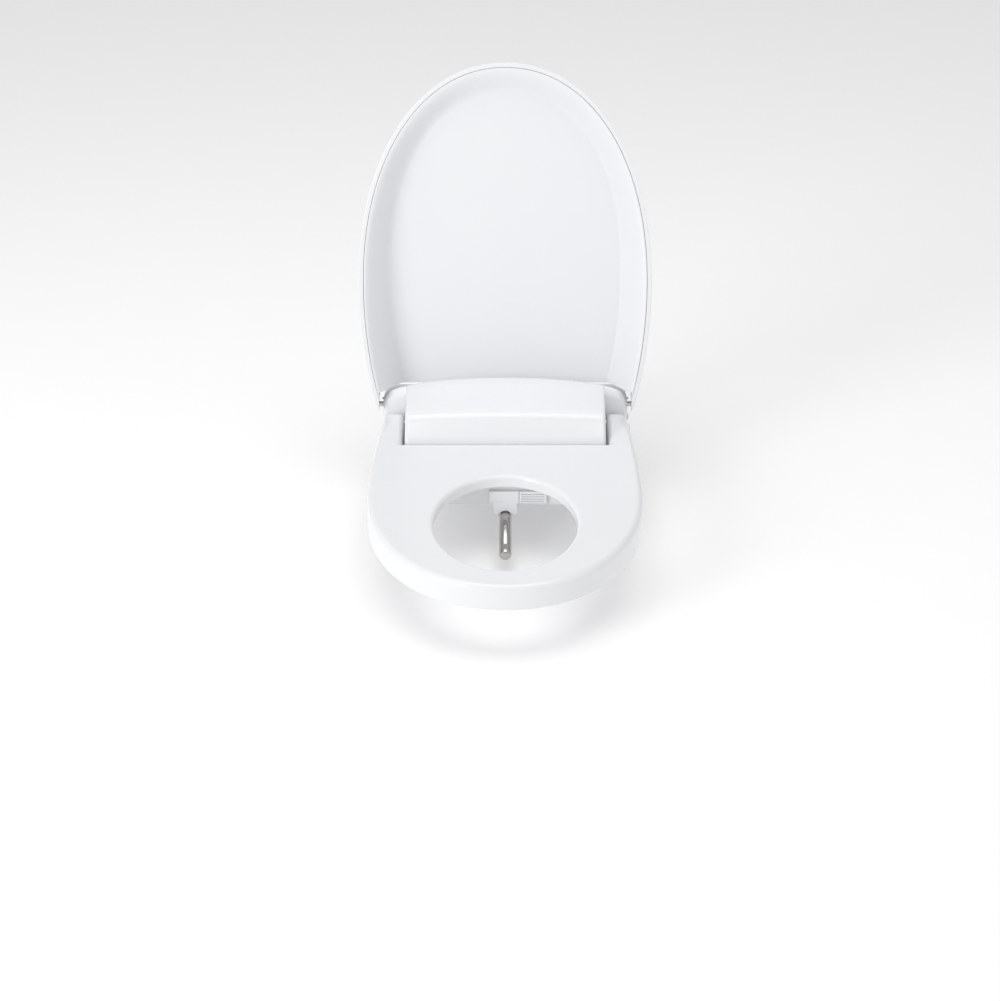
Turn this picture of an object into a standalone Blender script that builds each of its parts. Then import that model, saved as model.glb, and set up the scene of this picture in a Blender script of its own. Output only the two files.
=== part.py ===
"""Electric bidet seat: a mounting bracket, the slide-on main unit with its wash and dry works,
the heated seat ring and the lid, each hinged on its own pins.

Frame: +X to the right of someone facing the seat, +Y to the back, +Z up. The origin lies on the
toilet's deck, midway between the two mounting bolts. The lid stands open, the seat ring is down
and the wash nozzle is out.
"""
import math

import bmesh
import bpy
from mathutils import Matrix, Vector

MM = 0.001
GAP = 0.4 * MM            # clearance between neighbouring solids

# --- seat ring -----------------------------------------------------------------------------
SEAT_HALF_WIDTH = 176 * MM
SEAT_WIDEST_Y = -215 * MM
SEAT_TIP_Y = -448 * MM
SEAT_ROUNDNESS = 2.1      # exponent of the superellipse at the front
SEAT_TAPER = 0.235        # how fast the arms draw in towards the hinge, per metre
SEAT_CORNER = 18 * MM     # rounding of the arms' rear outer corners
SEAT_BOTTOM = 8 * MM
SEAT_TOP_REAR = 51.5 * MM
SEAT_TOP_FRONT = 40 * MM
SEAT_PLATE_TOP = 12 * MM  # upper face of the plate that closes the seat from below
SEAT_WALL = 3 * MM
SEAT_CEILING = 6.2 * MM   # thickness of the seat's top skin
SEAT_EDGE = 8 * MM        # rounding of the top's outer edge
ARM_EXTRA_DROP = 6 * MM   # the arms' outer edges are rounded more
ARM_DROP_START = -170 * MM
ARM_DROP_RUN = 110 * MM
HOLE_EDGE = 5 * MM        # rounding of the opening's upper edge
HOLE_Y = -294.7 * MM
HOLE_HALF_WIDTH = 89.8 * MM
HOLE_HALF_LENGTH = 113.8 * MM
SEAT_AXIS = (-12 * MM, 40 * MM)
KNUCKLE_R = 11.6 * MM

# the step in the seat's underside that bridges the nozzle bay
BRIDGE_HALF = 118 * MM
BRIDGE_FRONT = -300 * MM
BRIDGE_BOTTOM = 29.4 * MM
BRIDGE_SKIN = 2.4 * MM
BRIDGE_REAR = -90 * MM

# --- lid -----------------------------------------------------------------------------------
LID_AXIS = (10 * MM, 58 * MM)
LID_OPEN_DEG = 100.5
LID_HALF_WIDTH = 195 * MM
LID_WIDEST = 163 * MM     # distances along the lid are counted from its hinge axis
LID_TIP = 461 * MM
LID_ROUNDNESS = 2.11
LID_TAPER = 0.78
LID_RIM = -19 * MM        # height of the rim plane above the hinge axis, lid shut
LID_DEPTH_REAR = 53 * MM
LID_DEPTH_TIP = 20 * MM
LID_LIP = 6 * MM
LID_WALL_RUN = 42 * MM    # how far in from the outline the inner wall meets the floor
LID_DOME_RUN = 40 * MM
LID_SKIN = 2.4 * MM
EAR_INNER = 171 * MM
EAR_R = 11 * MM
RIDGE_CLEARANCE = 3.4 * MM

# --- main unit -----------------------------------------------------------------------------
TONGUE_HALF = 133.5 * MM
SLOT = 2.6 * MM           # free gap between the tongue and the seat's arms
BODY_HALF = 166 * MM
TONGUE_FRONT = -88 * MM
CREST = (-61 * MM, 81 * MM)
RIDGE_Y = 15 * MM
RIDGE_RISE = 33 * MM      # of the ridge above RIDGE_BASE at the middle
RIDGE_BASE = 61 * MM
SHOULDER_FRONT = 2.5 * MM
REAR_DECK = 64 * MM
REAR_Y = 66 * MM
TRAY_TOP = 26 * MM
WALL = 2.6 * MM
BAY_HALF = 112 * MM
BAY_FRONT = -170 * MM
BAY_TOP = 28.6 * MM

# --- bracket -------------------------------------------------------------------------------
PLATE_HALF = (96 * MM, 40 * MM)
PLATE_THICK = 6 * MM
BOLT_X = 70 * MM
BOLT_R = 3 * MM
BOLT_LENGTH = 62 * MM

# --- wash nozzle ---------------------------------------------------------------------------
NOZZLE_DEG = 20
NOZZLE_EXIT = (-176 * MM, -18.5 * MM)
NOZZLE_R = 8 * MM
NOZZLE_OUT = 65 * MM
NOZZLE_TRAVEL = 62 * MM
TUBE_TAIL = 35 * MM
TIP_LENGTH = 16 * MM
MODULE = 1.25 * MM
PINION_TEETH = 12
PINION_AT = -113 * MM     # along the nozzle's axis, counted from its exit
PRESSURE_DEG = 20
BACKLASH = 0.45 * MM

# --- dryer ---------------------------------------------------------------------------------
FAN_CENTRE = (76 * MM, -30 * MM)
FAN_R = 33 * MM
FAN_FLOOR = 10 * MM
FAN_HEIGHT = 20 * MM
DUCT = (20 * MM, 52 * MM)
DUCT_Z = (4 * MM, 21 * MM)

WHITE = (0.86, 0.87, 0.88)
WARM_WHITE = (0.80, 0.81, 0.82)


def clear_scene():
    """Remove every object that is already in the scene."""
    for old in list(bpy.data.objects):
        bpy.data.objects.remove(old, do_unlink=True)


def material(name, colour, roughness, metallic=0.0):
    """Principled material with the part's own colour."""
    mat = bpy.data.materials.new(name)
    mat.use_nodes = True
    shader = mat.node_tree.nodes["Principled BSDF"]
    shader.inputs["Base Color"].default_value = (*colour, 1)
    shader.inputs["Roughness"].default_value = roughness
    shader.inputs["Metallic"].default_value = metallic
    mat.diffuse_color = (*colour, 1)
    return mat


def add_object(name, bm, look=None, parent=None):
    """Turn a bmesh into an object, faces outward, round parts smooth."""
    bmesh.ops.remove_doubles(bm, verts=bm.verts, dist=1e-6)
    bmesh.ops.recalc_face_normals(bm, faces=bm.faces)
    mesh = bpy.data.meshes.new(name)
    bm.to_mesh(mesh)
    bm.free()
    obj = bpy.data.objects.new(name, mesh)
    bpy.context.collection.objects.link(obj)
    if look:
        mesh.materials.append(material(name, *look))
    mesh.shade_smooth()
    mesh.set_sharp_from_angle(angle=math.radians(35))
    if parent:
        obj.parent = parent
    return obj


def loft(loops, closed=False):
    """Bridge loops of equally many points; the end loops become caps unless it closes on itself."""
    bm = bmesh.new()
    rings = [[bm.verts.new(p) for p in loop] for loop in loops]
    count = len(rings[0])
    pairs = list(zip(rings, rings[1:]))
    if closed:
        pairs.append((rings[-1], rings[0]))
    for low, high in pairs:
        for i in range(count):
            j = (i + 1) % count
            bm.faces.new((low[i], low[j], high[j], high[i]))
    if not closed:
        bm.faces.new(rings[0])
        bm.faces.new(rings[-1])
    return bm


def box(lo, hi):
    """Axis-aligned box between two corners."""
    (x0, y0, z0), (x1, y1, z1) = lo, hi
    corners = [(x0, y0), (x1, y0), (x1, y1), (x0, y1)]
    return loft([[(x, y, z) for x, y in corners] for z in (z0, z1)])


def rounded_box(lo, hi, radius, steps=3):
    """Box whose upright edges are rounded."""
    (x0, y0, z0), (x1, y1, z1) = lo, hi
    points = []
    corners = [(x1, y1, 0), (x0, y1, 90), (x0, y0, 180), (x1, y0, 270)]
    for x, y, start in corners:
        cx = x - math.copysign(radius, x - (x0 + x1) / 2)
        cy = y - math.copysign(radius, y - (y0 + y1) / 2)
        for k in range(steps + 1):
            a = math.radians(start + 90 * k / steps)
            points.append((cx + radius * math.cos(a), cy + radius * math.sin(a)))
    return loft([[(x, y, z) for x, y in points] for z in (z0, z1)])


def turned(profile, centre, axis, sides=24):
    """Solid of revolution: profile of (radius, distance along the axis) pairs."""
    turn = Vector((0, 0, 1)).rotation_difference(Vector(axis)).to_matrix()
    loops = []
    for radius, height in profile:
        ring = []
        for k in range(sides):
            a = 2 * math.pi * k / sides
            spot = Vector((radius * math.cos(a), radius * math.sin(a), height))
            ring.append(Vector(centre) + turn @ spot)
        loops.append(ring)
    return loft(loops)


def rod(radius, start, end, sides=24):
    """Cylinder between two points."""
    start, end = Vector(start), Vector(end)
    return turned([(radius, 0), (radius, (end - start).length)], start, end - start, sides)


def combine(obj, tool_bm, operation):
    """Cut a shape out of an object, or weld one on, and keep the result as plain mesh."""
    tool = add_object("tool", tool_bm, None, obj.parent)
    step = obj.modifiers.new("step", "BOOLEAN")
    step.operation = operation
    step.solver = "EXACT"
    step.object = tool
    graph = bpy.context.evaluated_depsgraph_get()
    mesh = bpy.data.meshes.new_from_object(obj.evaluated_get(graph))
    obj.modifiers.clear()
    old = obj.data
    obj.data = mesh
    bpy.data.meshes.remove(old)
    bpy.data.objects.remove(tool, do_unlink=True)
    mesh.shade_smooth()
    mesh.set_sharp_from_angle(angle=math.radians(35))


def cut(obj, *tools):
    for tool in tools:
        combine(obj, tool, "DIFFERENCE")


def weld(obj, *tools):
    for tool in tools:
        combine(obj, tool, "UNION")


def smoothstep(t):
    t = min(max(t, 0), 1)
    return t * t * (3 - 2 * t)


# --- seat ring -----------------------------------------------------------------------------

def seat_half_width(y):
    """Half the seat's width at a station y."""
    if y < SEAT_WIDEST_Y:
        t = (SEAT_WIDEST_Y - y) / (SEAT_WIDEST_Y - SEAT_TIP_Y)
        return SEAT_HALF_WIDTH * max(1 - t ** SEAT_ROUNDNESS, 0) ** (1 / SEAT_ROUNDNESS)
    return SEAT_HALF_WIDTH - SEAT_TAPER * (y - SEAT_WIDEST_Y) ** 2


def seat_side():
    """Right half of the seat's outline, from the rear slot round to the tip."""
    rear = SEAT_AXIS[0] + KNUCKLE_R
    slot = TONGUE_HALF + SLOT
    points = [(slot, BRIDGE_REAR), (slot, rear - 25 * MM), (slot, rear)]
    corner = seat_half_width(rear - SEAT_CORNER) - SEAT_CORNER
    for k in range(5):
        a = math.radians(90 - 22.5 * k)
        points.append((corner + SEAT_CORNER * math.cos(a), rear - SEAT_CORNER * (1 - math.sin(a))))
    for y in (-50 * MM, -85 * MM, -130 * MM, -175 * MM):
        points.append((seat_half_width(y), y))
    for k in range(12):
        a = math.pi / 2 * k / 12
        y = SEAT_WIDEST_Y + (SEAT_TIP_Y - SEAT_WIDEST_Y) * math.sin(a) ** (2 / SEAT_ROUNDNESS)
        points.append((seat_half_width(y), y))
    return points


def seat_outline():
    """Whole outline, counter-clockwise seen from above."""
    right = seat_side()
    left = [(-x, y) for x, y in right]
    return left + [(0, SEAT_TIP_Y)] + right[::-1]


def inset(points, distance):
    """Closed outline moved inwards along its corner bisectors."""
    moved = []
    count = len(points)
    for i, here in enumerate(points):
        before = Vector(points[i - 1])
        after = Vector(points[(i + 1) % count])
        here = Vector(here)
        a = (here - before).normalized()
        b = (after - here).normalized()
        normal_a = Vector((-a.y, a.x))
        normal_b = Vector((-b.y, b.x))
        bisector = (normal_a + normal_b).normalized()
        moved.append(here + bisector * distance / max(bisector.dot(normal_a), 0.5))
    return [(p.x, p.y) for p in moved]


def hole_loop(grow=0.0, count=48):
    """Elliptical outline of the seat's opening, grown by a distance."""
    loop = []
    for k in range(count):
        a = 2 * math.pi * k / count
        x = (HOLE_HALF_WIDTH + grow) * math.sin(a)
        y = HOLE_Y + (HOLE_HALF_LENGTH + grow) * math.cos(a)
        loop.append((x, y))
    return loop


def seat_top_z(y):
    """Height of the seat's top, sloping down evenly to the front."""
    t = (y - SEAT_AXIS[0]) / (SEAT_TIP_Y - SEAT_AXIS[0])
    return SEAT_TOP_REAR + (SEAT_TOP_FRONT - SEAT_TOP_REAR) * t


def prism(outline, z_low, z_high):
    return loft([[(x, y, z_low) for x, y in outline], [(x, y, z_high) for x, y in outline]])


def ring_solid(outer, inner):
    """Closed solid between stacks of outer and inner loops, filled at the bottom and the top."""
    bm = bmesh.new()
    stacks = []
    for stack in (outer, inner):
        rings = [[bm.verts.new(p) for p in loop] for loop in stack]
        for low, high in zip(rings, rings[1:]):
            for i in range(len(low)):
                j = (i + 1) % len(low)
                bm.faces.new((low[i], low[j], high[j], high[i]))
        stacks.append(rings)
    for level in (0, -1):
        edges = []
        for rings in stacks:
            ring = rings[level]
            for i in range(len(ring)):
                edges.append(bm.edges.get((ring[i], ring[(i + 1) % len(ring)])))
        bmesh.ops.triangle_fill(bm, edges=edges, use_beauty=True, use_dissolve=False)
    return bm


def edge_drop(y, edge):
    """Height of the rounding below the top, greater towards the hinge so the closed lid clears it."""
    return edge + ARM_EXTRA_DROP * smoothstep((y - ARM_DROP_START) / ARM_DROP_RUN)


def edge_levels(outline, foot, run):
    """Loops up a wall and over its rounded top edge."""
    loops = [[(x, y, foot) for x, y in outline]]
    for k in range(4):
        a = math.radians(30 * k)
        shifted = inset(outline, run * (1 - math.cos(a)))
        loop = []
        for (x, y), (_, base_y) in zip(shifted, outline):
            drop = edge_drop(base_y, run)
            loop.append((x, y, seat_top_z(base_y) - drop * (1 - math.sin(a))))
        loops.append(loop)
    return loops


def make_seat_top(parent):
    """Upper seat shell: rounded top, outer and inner walls, open below."""
    outline = seat_outline()
    outer = edge_levels(outline, SEAT_BOTTOM, SEAT_EDGE)
    inner = edge_levels(hole_loop(), SEAT_BOTTOM, HOLE_EDGE)
    top = add_object("seat_top", ring_solid(outer, inner), (WHITE, 0.18), parent)
    hollow_out = inset(outline, SEAT_WALL)
    hollow_in = hole_loop(SEAT_WALL)
    low = -10 * MM

    def ceiling(loop):
        return [(x, y, seat_top_z(y) - edge_drop(y, SEAT_CEILING)) for x, y in loop]

    hollow = ring_solid(
        [[(x, y, low) for x, y in hollow_out], ceiling(hollow_out)],
        [[(x, y, low) for x, y in hollow_in], ceiling(hollow_in)],
    )
    cut(top, hollow)
    reach = BRIDGE_HALF + 4 * MM
    cut(top, box((-reach, BRIDGE_FRONT - 4 * MM, 0), (reach, 30 * MM, BRIDGE_BOTTOM + BRIDGE_SKIN + GAP)))
    for side in (-1, 1):
        axis_y, axis_z = SEAT_AXIS
        inside = side * (TONGUE_HALF + 1 * MM)
        outside = side * (BODY_HALF - 1 * MM)
        knuckle = []
        for k in range(9):
            a = math.radians(90 - 180 * k / 8)
            knuckle.append((axis_y + KNUCKLE_R * math.cos(a), axis_z + KNUCKLE_R * math.sin(a)))
        corner = [(axis_y, 70 * MM), (30 * MM, 70 * MM), (30 * MM, 0), (axis_y, 0)] + knuckle[::-1]
        wide = side * 190 * MM
        loops = [[(x, y, z) for y, z in corner] for x in (inside - side * 3 * MM, wide)]
        cut(top, loft(loops))
        block = [
            (inside + side * 1.4 * MM, -26 * MM, 24 * MM),
            (outside - side * 4 * MM, axis_y + 6 * MM, 47 * MM),
        ]
        lo = [min(p) for p in zip(*block)]
        hi = [max(p) for p in zip(*block)]
        weld(top, box(lo, hi))
        bore_start = (inside - side * 4 * MM, axis_y, axis_z)
        bore_end = (outside - side * 8 * MM, axis_y, axis_z)
        cut(top, rod(4 * MM, bore_start, bore_end))
    return top


def make_seat_base(parent):
    """Plate that closes the seat from below inside its skirt, raised over the nozzle bay."""
    outline = inset(seat_outline(), SEAT_WALL + GAP)
    hole = hole_loop(SEAT_WALL + GAP)[::-1]

    def ring(outer, inner, z_low, z_high):
        return ring_solid(
            [[(x, y, z) for x, y in outer] for z in (z_low, z_high)],
            [[(x, y, z) for x, y in inner] for z in (z_low, z_high)],
        )

    plate = ring(outline, hole, SEAT_BOTTOM, SEAT_PLATE_TOP)
    base = add_object("seat_base", plate, (WARM_WHITE, 0.35), parent)
    wide = 200 * MM
    cut(base, box((-BRIDGE_HALF, BRIDGE_FRONT, 0), (BRIDGE_HALF, 30 * MM, SEAT_PLATE_TOP + MM)))
    cut(base, box((-wide, -24 * MM, 0), (wide, 30 * MM, 60 * MM)))
    raised = add_object("raised", ring(outline, hole, SEAT_BOTTOM, BRIDGE_BOTTOM + BRIDGE_SKIN), None)
    wall = 3 * MM
    reach = BRIDGE_HALF + wall
    keep = box((-reach, BRIDGE_FRONT - wall, 0), (reach, BRIDGE_REAR - 1 * MM, 60 * MM))
    combine(raised, keep, "INTERSECT")
    cut(raised, box((-BRIDGE_HALF, BRIDGE_FRONT, 0), (BRIDGE_HALF, 30 * MM, BRIDGE_BOTTOM)))
    bm = bmesh.new()
    bm.from_mesh(raised.data)
    bpy.data.objects.remove(raised, do_unlink=True)
    weld(base, bm)
    return base


def make_seat_heater(parent):
    """Heating mat under the seat's top: a thin ring broken at the back."""
    outline = inset(seat_outline(), 22 * MM)
    hole = hole_loop(16 * MM)[::-1]
    drop = 8.6 * MM
    thick = 0.8 * MM

    def level(loop, lift):
        return [(x, y, seat_top_z(y) - drop + lift) for x, y in loop]

    mat = ring_solid([level(outline, 0), level(outline, thick)], [level(hole, 0), level(hole, thick)])
    heater = add_object("seat_heater", mat, ((0.45, 0.46, 0.48), 0.4), parent)
    cut(heater, box((-200 * MM, -182 * MM, 0), (200 * MM, 50 * MM, 80 * MM)))
    return heater


def make_seat_bumpers(parent):
    """Four rubber feet that rest on the bowl's rim."""
    spots = {
        "front_left": (-72, -398),
        "front_right": (72, -398),
        "rear_left": (-146, -130),
        "rear_right": (146, -130),
    }
    for name, (x, y) in spots.items():
        spot = (x * MM, y * MM, 0)
        foot = turned([(9 * MM, 0), (10 * MM, 1.5 * MM), (10 * MM, SEAT_BOTTOM - GAP)], spot, (0, 0, 1))
        add_object(f"seat_bumper_{name}", foot, ((0.62, 0.63, 0.64), 0.7), parent)


def make_seat_pins(parent):
    axis_y, axis_z = SEAT_AXIS
    for name, side in (("left", -1), ("right", 1)):
        pin = rod(3.5 * MM, (side * 122 * MM, axis_y, axis_z), (side * 156 * MM, axis_y, axis_z))
        add_object(f"seat_pin_{name}", pin, ((0.7, 0.7, 0.72), 0.3, 1.0), parent)


# --- lid -----------------------------------------------------------------------------------

def lid_depth(s):
    """Depth of the lid's floor behind its rim plane, shallower towards the tip."""
    t = (s - 21 * MM) / (416 * MM - 21 * MM)
    return LID_DEPTH_REAR + (LID_DEPTH_TIP - LID_DEPTH_REAR) * t


def lid_stations():
    """Right half of the lid's outline with the point on the spine that each station faces."""
    stations = []
    for k in range(9):
        s = -13 * MM + (LID_WIDEST + 13 * MM) * k / 9
        x = LID_HALF_WIDTH - LID_TAPER * (LID_WIDEST - s) ** 2
        stations.append(((x, s), (0, s)))
    for k in range(15):
        a = math.pi / 2 * k / 14
        t = math.sin(a) ** (2 / LID_ROUNDNESS)
        x = LID_HALF_WIDTH * max(1 - t ** LID_ROUNDNESS, 0) ** (1 / LID_ROUNDNESS)
        s = LID_WIDEST + (LID_TIP - LID_WIDEST) * t
        stations.append(((x, s), (0, LID_WIDEST)))
    return stations


def lid_surface(insets, height):
    """Grid of points, one row per station from the left hinge round the tip to the right hinge."""
    half = lid_stations()
    rows = []
    for (x, s), (spine_x, spine_s) in half:
        reach = math.hypot(x - spine_x, s - spine_s)
        row = []
        for d in insets:
            t = min(d / reach, 1)
            px = x + (spine_x - x) * t
            ps = s + (spine_s - s) * t
            row.append((px, -ps, LID_RIM + height(d, ps)))
        row.append((spine_x, -spine_s, LID_RIM + height(reach, spine_s)))
        rows.append(row)
    left = [[(-x, y, z) for x, y, z in row] for row in rows]
    return left + rows[-2::-1]


def shell_between(upper, lower):
    """Closed solid between two grids that share their layout; the rows meet on the spine."""
    bm = bmesh.new()
    sheets = []
    for grid in (upper, lower):
        verts = [[bm.verts.new(p) for p in row] for row in grid]
        for a, b in zip(verts, verts[1:]):
            for i in range(len(a) - 1):
                bm.faces.new((a[i], a[i + 1], b[i + 1], b[i]))
        sheets.append(verts)
    top, bottom = sheets
    for i in range(len(top) - 1):
        bm.faces.new((top[i][0], top[i + 1][0], bottom[i + 1][0], bottom[i][0]))
    for row in (0, -1):
        for k in range(len(top[0]) - 1):
            bm.faces.new((top[row][k], top[row][k + 1], bottom[row][k + 1], bottom[row][k]))
    return bm


def dome(d, rise, run):
    """Quarter-ellipse profile that rises steeply at the edge and runs out flat."""
    t = min(max(d / run, 0), 1)
    return rise * math.sqrt(1 - (1 - t) ** 2)


def ridge_rise(x):
    """Height of the main unit's ridge above its base line across the width."""
    return RIDGE_RISE * (1 - min(abs(x) / (BODY_HALF + 2 * MM), 1) ** 2) ** 0.42


def hinge_clearance():
    """Barrel round the lid's axis that the ridge of the main unit sweeps, plus a clearance."""
    loops = []
    for k in range(17):
        x = EAR_INNER * math.sin(math.pi / 2 * (k - 8) / 8)
        rise = ridge_rise(x) + RIDGE_BASE - LID_AXIS[1]
        radius = math.hypot(RIDGE_Y - LID_AXIS[0], rise) + RIDGE_CLEARANCE
        ring = []
        for i in range(40):
            a = 2 * math.pi * i / 40
            ring.append((x, radius * math.cos(a), radius * math.sin(a)))
        loops.append(ring)
    return loft(loops)


def trim_lid(obj):
    """Rear cut of a lid shell: round the main unit's ridge, and the ears rounded about the pins."""
    behind = -21 * MM
    cut(obj, box((-EAR_INNER, behind, -60 * MM), (EAR_INNER, 60 * MM, 80 * MM)))
    cut(obj, hinge_clearance())
    for side in (-1, 1):
        far = side * 220 * MM
        near = side * 160 * MM
        arc = []
        for k in range(9):
            a = math.radians(90 - 180 * k / 8)
            arc.append((EAR_R * math.cos(a), EAR_R * math.sin(a)))
        corner = [(0, 70 * MM), (40 * MM, 70 * MM), (40 * MM, -40 * MM), (0, -40 * MM)] + arc[::-1]
        cut(obj, loft([[(x, y, z) for y, z in corner] for x in (near, far)]))


def make_lid_cover(parent):
    """Outer lid shell with its rim lip and hinge ears."""
    insets = [d * MM for d in (0, 0.6, 2, 4, 6, 10, 16, 24, 32, 40, 90)]
    outer = lid_surface(insets, lambda d, s: dome(d, lid_depth(s) + 6 * MM, LID_DOME_RUN))

    def inside(d, s):
        if d < LID_LIP - 0.1 * MM:
            return 0
        return dome(d - 2.6 * MM, lid_depth(s) + 3.2 * MM, LID_DOME_RUN - 2.6 * MM)

    under = [d * MM for d in (0, 2, 4, 5.8, 6, 10, 16, 24, 32, 40, 90)]
    cover = add_object("lid_cover", shell_between(outer, lid_surface(under, inside)), (WHITE, 0.16), parent)
    trim_lid(cover)
    for side in (-1, 1):
        cut(cover, rod(3.9 * MM, (side * 165 * MM, 0, 0), (side * 174.6 * MM, 0, 0)))
    return cover


def make_lid_liner(parent):
    """Inner lid skin: a smooth dish set inside the rim lip."""
    first = LID_LIP + GAP
    insets = [first + (LID_WALL_RUN - first) * k / 9 for k in range(10)] + [100 * MM]

    def face(d, s):
        return lid_depth(s) * smoothstep((d - first) / (LID_WALL_RUN - first))

    lower = lid_surface(insets, face)
    upper = [[(x, y, z + LID_SKIN) for x, y, z in row] for row in lower]
    liner = add_object("lid_liner", shell_between(upper, lower), (WHITE, 0.2), parent)
    trim_lid(liner)
    return liner


def make_lid_pins(parent):
    for name, side in (("left", -1), ("right", 1)):
        pin = rod(3.5 * MM, (side * 146 * MM, 0, 0), (side * 174 * MM, 0, 0))
        add_object(f"lid_pin_{name}", pin, ((0.7, 0.7, 0.72), 0.3, 1.0), parent)


# --- main unit -----------------------------------------------------------------------------

def rear_profile(x, low):
    """Section behind the ridge, from the ridge down to the rear wall's foot."""
    rise = ridge_rise(x) + RIDGE_BASE - LID_AXIS[1]
    radius = math.hypot(RIDGE_Y - LID_AXIS[0], rise)
    ridge = (RIDGE_Y, LID_AXIS[1] + rise)
    floor = REAR_DECK
    points = [ridge]
    for angle in (62, 42, 24):
        a = math.radians(angle)
        y = LID_AXIS[0] + radius * math.cos(a)
        z = max(LID_AXIS[1] + radius * math.sin(a), floor)
        points.append((max(y, RIDGE_Y + (75 - angle) * 0.2 * MM), min(z, ridge[1])))
    points.append((LID_AXIS[0] + 38 * MM, floor))
    points.append((REAR_Y - 4 * MM, floor - 0.5 * MM))
    points.append((REAR_Y, floor - 5 * MM))
    points.append((REAR_Y, low))
    return points


def tongue_section(x, low):
    """Closed section of the middle housing at a station x, as (y, z) pairs."""
    crest_y, crest_z = CREST
    drop = (RIDGE_RISE - ridge_rise(x)) * 0.35
    front = [
        (TONGUE_FRONT, low),
        (TONGUE_FRONT, 47 * MM),
        (TONGUE_FRONT + 2.5 * MM, 53 * MM),
        (crest_y - 8 * MM, crest_z - 9 * MM - drop),
        (crest_y - 2 * MM, crest_z - 2.6 * MM - drop),
        (crest_y + 6 * MM, crest_z + 0.4 * MM - drop),
    ]
    return front + rear_profile(x, low)


def shoulder_section(x, low):
    """Closed section of a hinge block at a station x."""
    rise = ridge_rise(x)
    top = RIDGE_BASE + rise
    front = [
        (SHOULDER_FRONT, low),
        (SHOULDER_FRONT, 52 * MM),
        (SHOULDER_FRONT + 2.5 * MM, max(top - 9.5 * MM, 55 * MM)),
        (SHOULDER_FRONT + 4.5 * MM, max(top - 6.5 * MM, 57 * MM)),
    ]
    return front + rear_profile(x, low)


def shrink(points, distance):
    """Inset of a clockwise section that stays open below."""
    moved = inset([tuple(p) for p in points][::-1], distance)[::-1]
    low = points[0][1] - 5 * MM
    moved[0] = (moved[0][0], low)
    moved[-1] = (moved[-1][0], low)
    return moved


def make_top_cover(parent):
    """Upper casing of the main unit: the tongue between the seat's arms and the ridge behind it."""
    low = TRAY_TOP + GAP
    stations = [TONGUE_HALF * math.sin(math.pi / 2 * (k - 8) / 8) for k in range(17)]
    outer = [[(x, y, z) for y, z in tongue_section(x, low)] for x in stations]
    cover = add_object("top_cover", loft(outer), (WHITE, 0.16), parent)
    inside = (TONGUE_HALF - WALL) / TONGUE_HALF
    inner = []
    for x in stations:
        section = shrink(tongue_section(x, low), WALL)
        inner.append([(x * inside, y, z) for y, z in section])
    cut(cover, loft(inner))
    for side in (-1, 1):
        axis_y, axis_z = SEAT_AXIS
        cut(cover, rod(4 * MM, (side * 125 * MM, axis_y, axis_z), (side * 145 * MM, axis_y, axis_z)))
    return cover


def make_hinge_blocks(parent):
    """Shoulders at both ends of the main unit, which carry the lid's pins."""
    low = TRAY_TOP + GAP
    inner = TONGUE_HALF + GAP
    for name, side in (("left", -1), ("right", 1)):
        loops = []
        for k in range(7):
            x = inner + (BODY_HALF - inner) * math.sin(math.pi / 2 * k / 6)
            loops.append([(side * x, y, z) for y, z in shoulder_section(x, low)])
        block = add_object(f"hinge_block_{name}", loft(loops), (WHITE, 0.2), parent)
        axis_y, axis_z = LID_AXIS
        cut(block, rod(3.9 * MM, (side * 140 * MM, axis_y, axis_z), (side * 170 * MM, axis_y, axis_z)))
        lo_x, hi_x = sorted((side * (inner + 3 * MM), side * (BODY_HALF - 3 * MM)))
        cut(block, box((lo_x, 20 * MM, 0), (hi_x, 62 * MM, 52 * MM)))


def tray_outline(margin=0.0):
    """Plan outline of the lower casing: rear block, tongue and nozzle bay, counter-clockwise."""
    bay = BAY_HALF - margin
    tongue = TONGUE_HALF - margin
    body = BODY_HALF - margin
    corner = 14 * MM
    half = [
        (bay - corner, BAY_FRONT + margin),
        (bay - corner * 0.3, BAY_FRONT + margin + corner * 0.3),
        (bay, BAY_FRONT + margin + corner),
        (bay, TONGUE_FRONT + margin),
        (tongue, TONGUE_FRONT + margin),
        (tongue, SHOULDER_FRONT + margin),
        (body, SHOULDER_FRONT + margin),
        (body, REAR_Y - margin - corner),
        (body - corner * 0.3, REAR_Y - margin - corner * 0.3),
        (body - corner, REAR_Y - margin),
    ]
    return half + [(-x, y) for x, y in half[::-1]]


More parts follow.
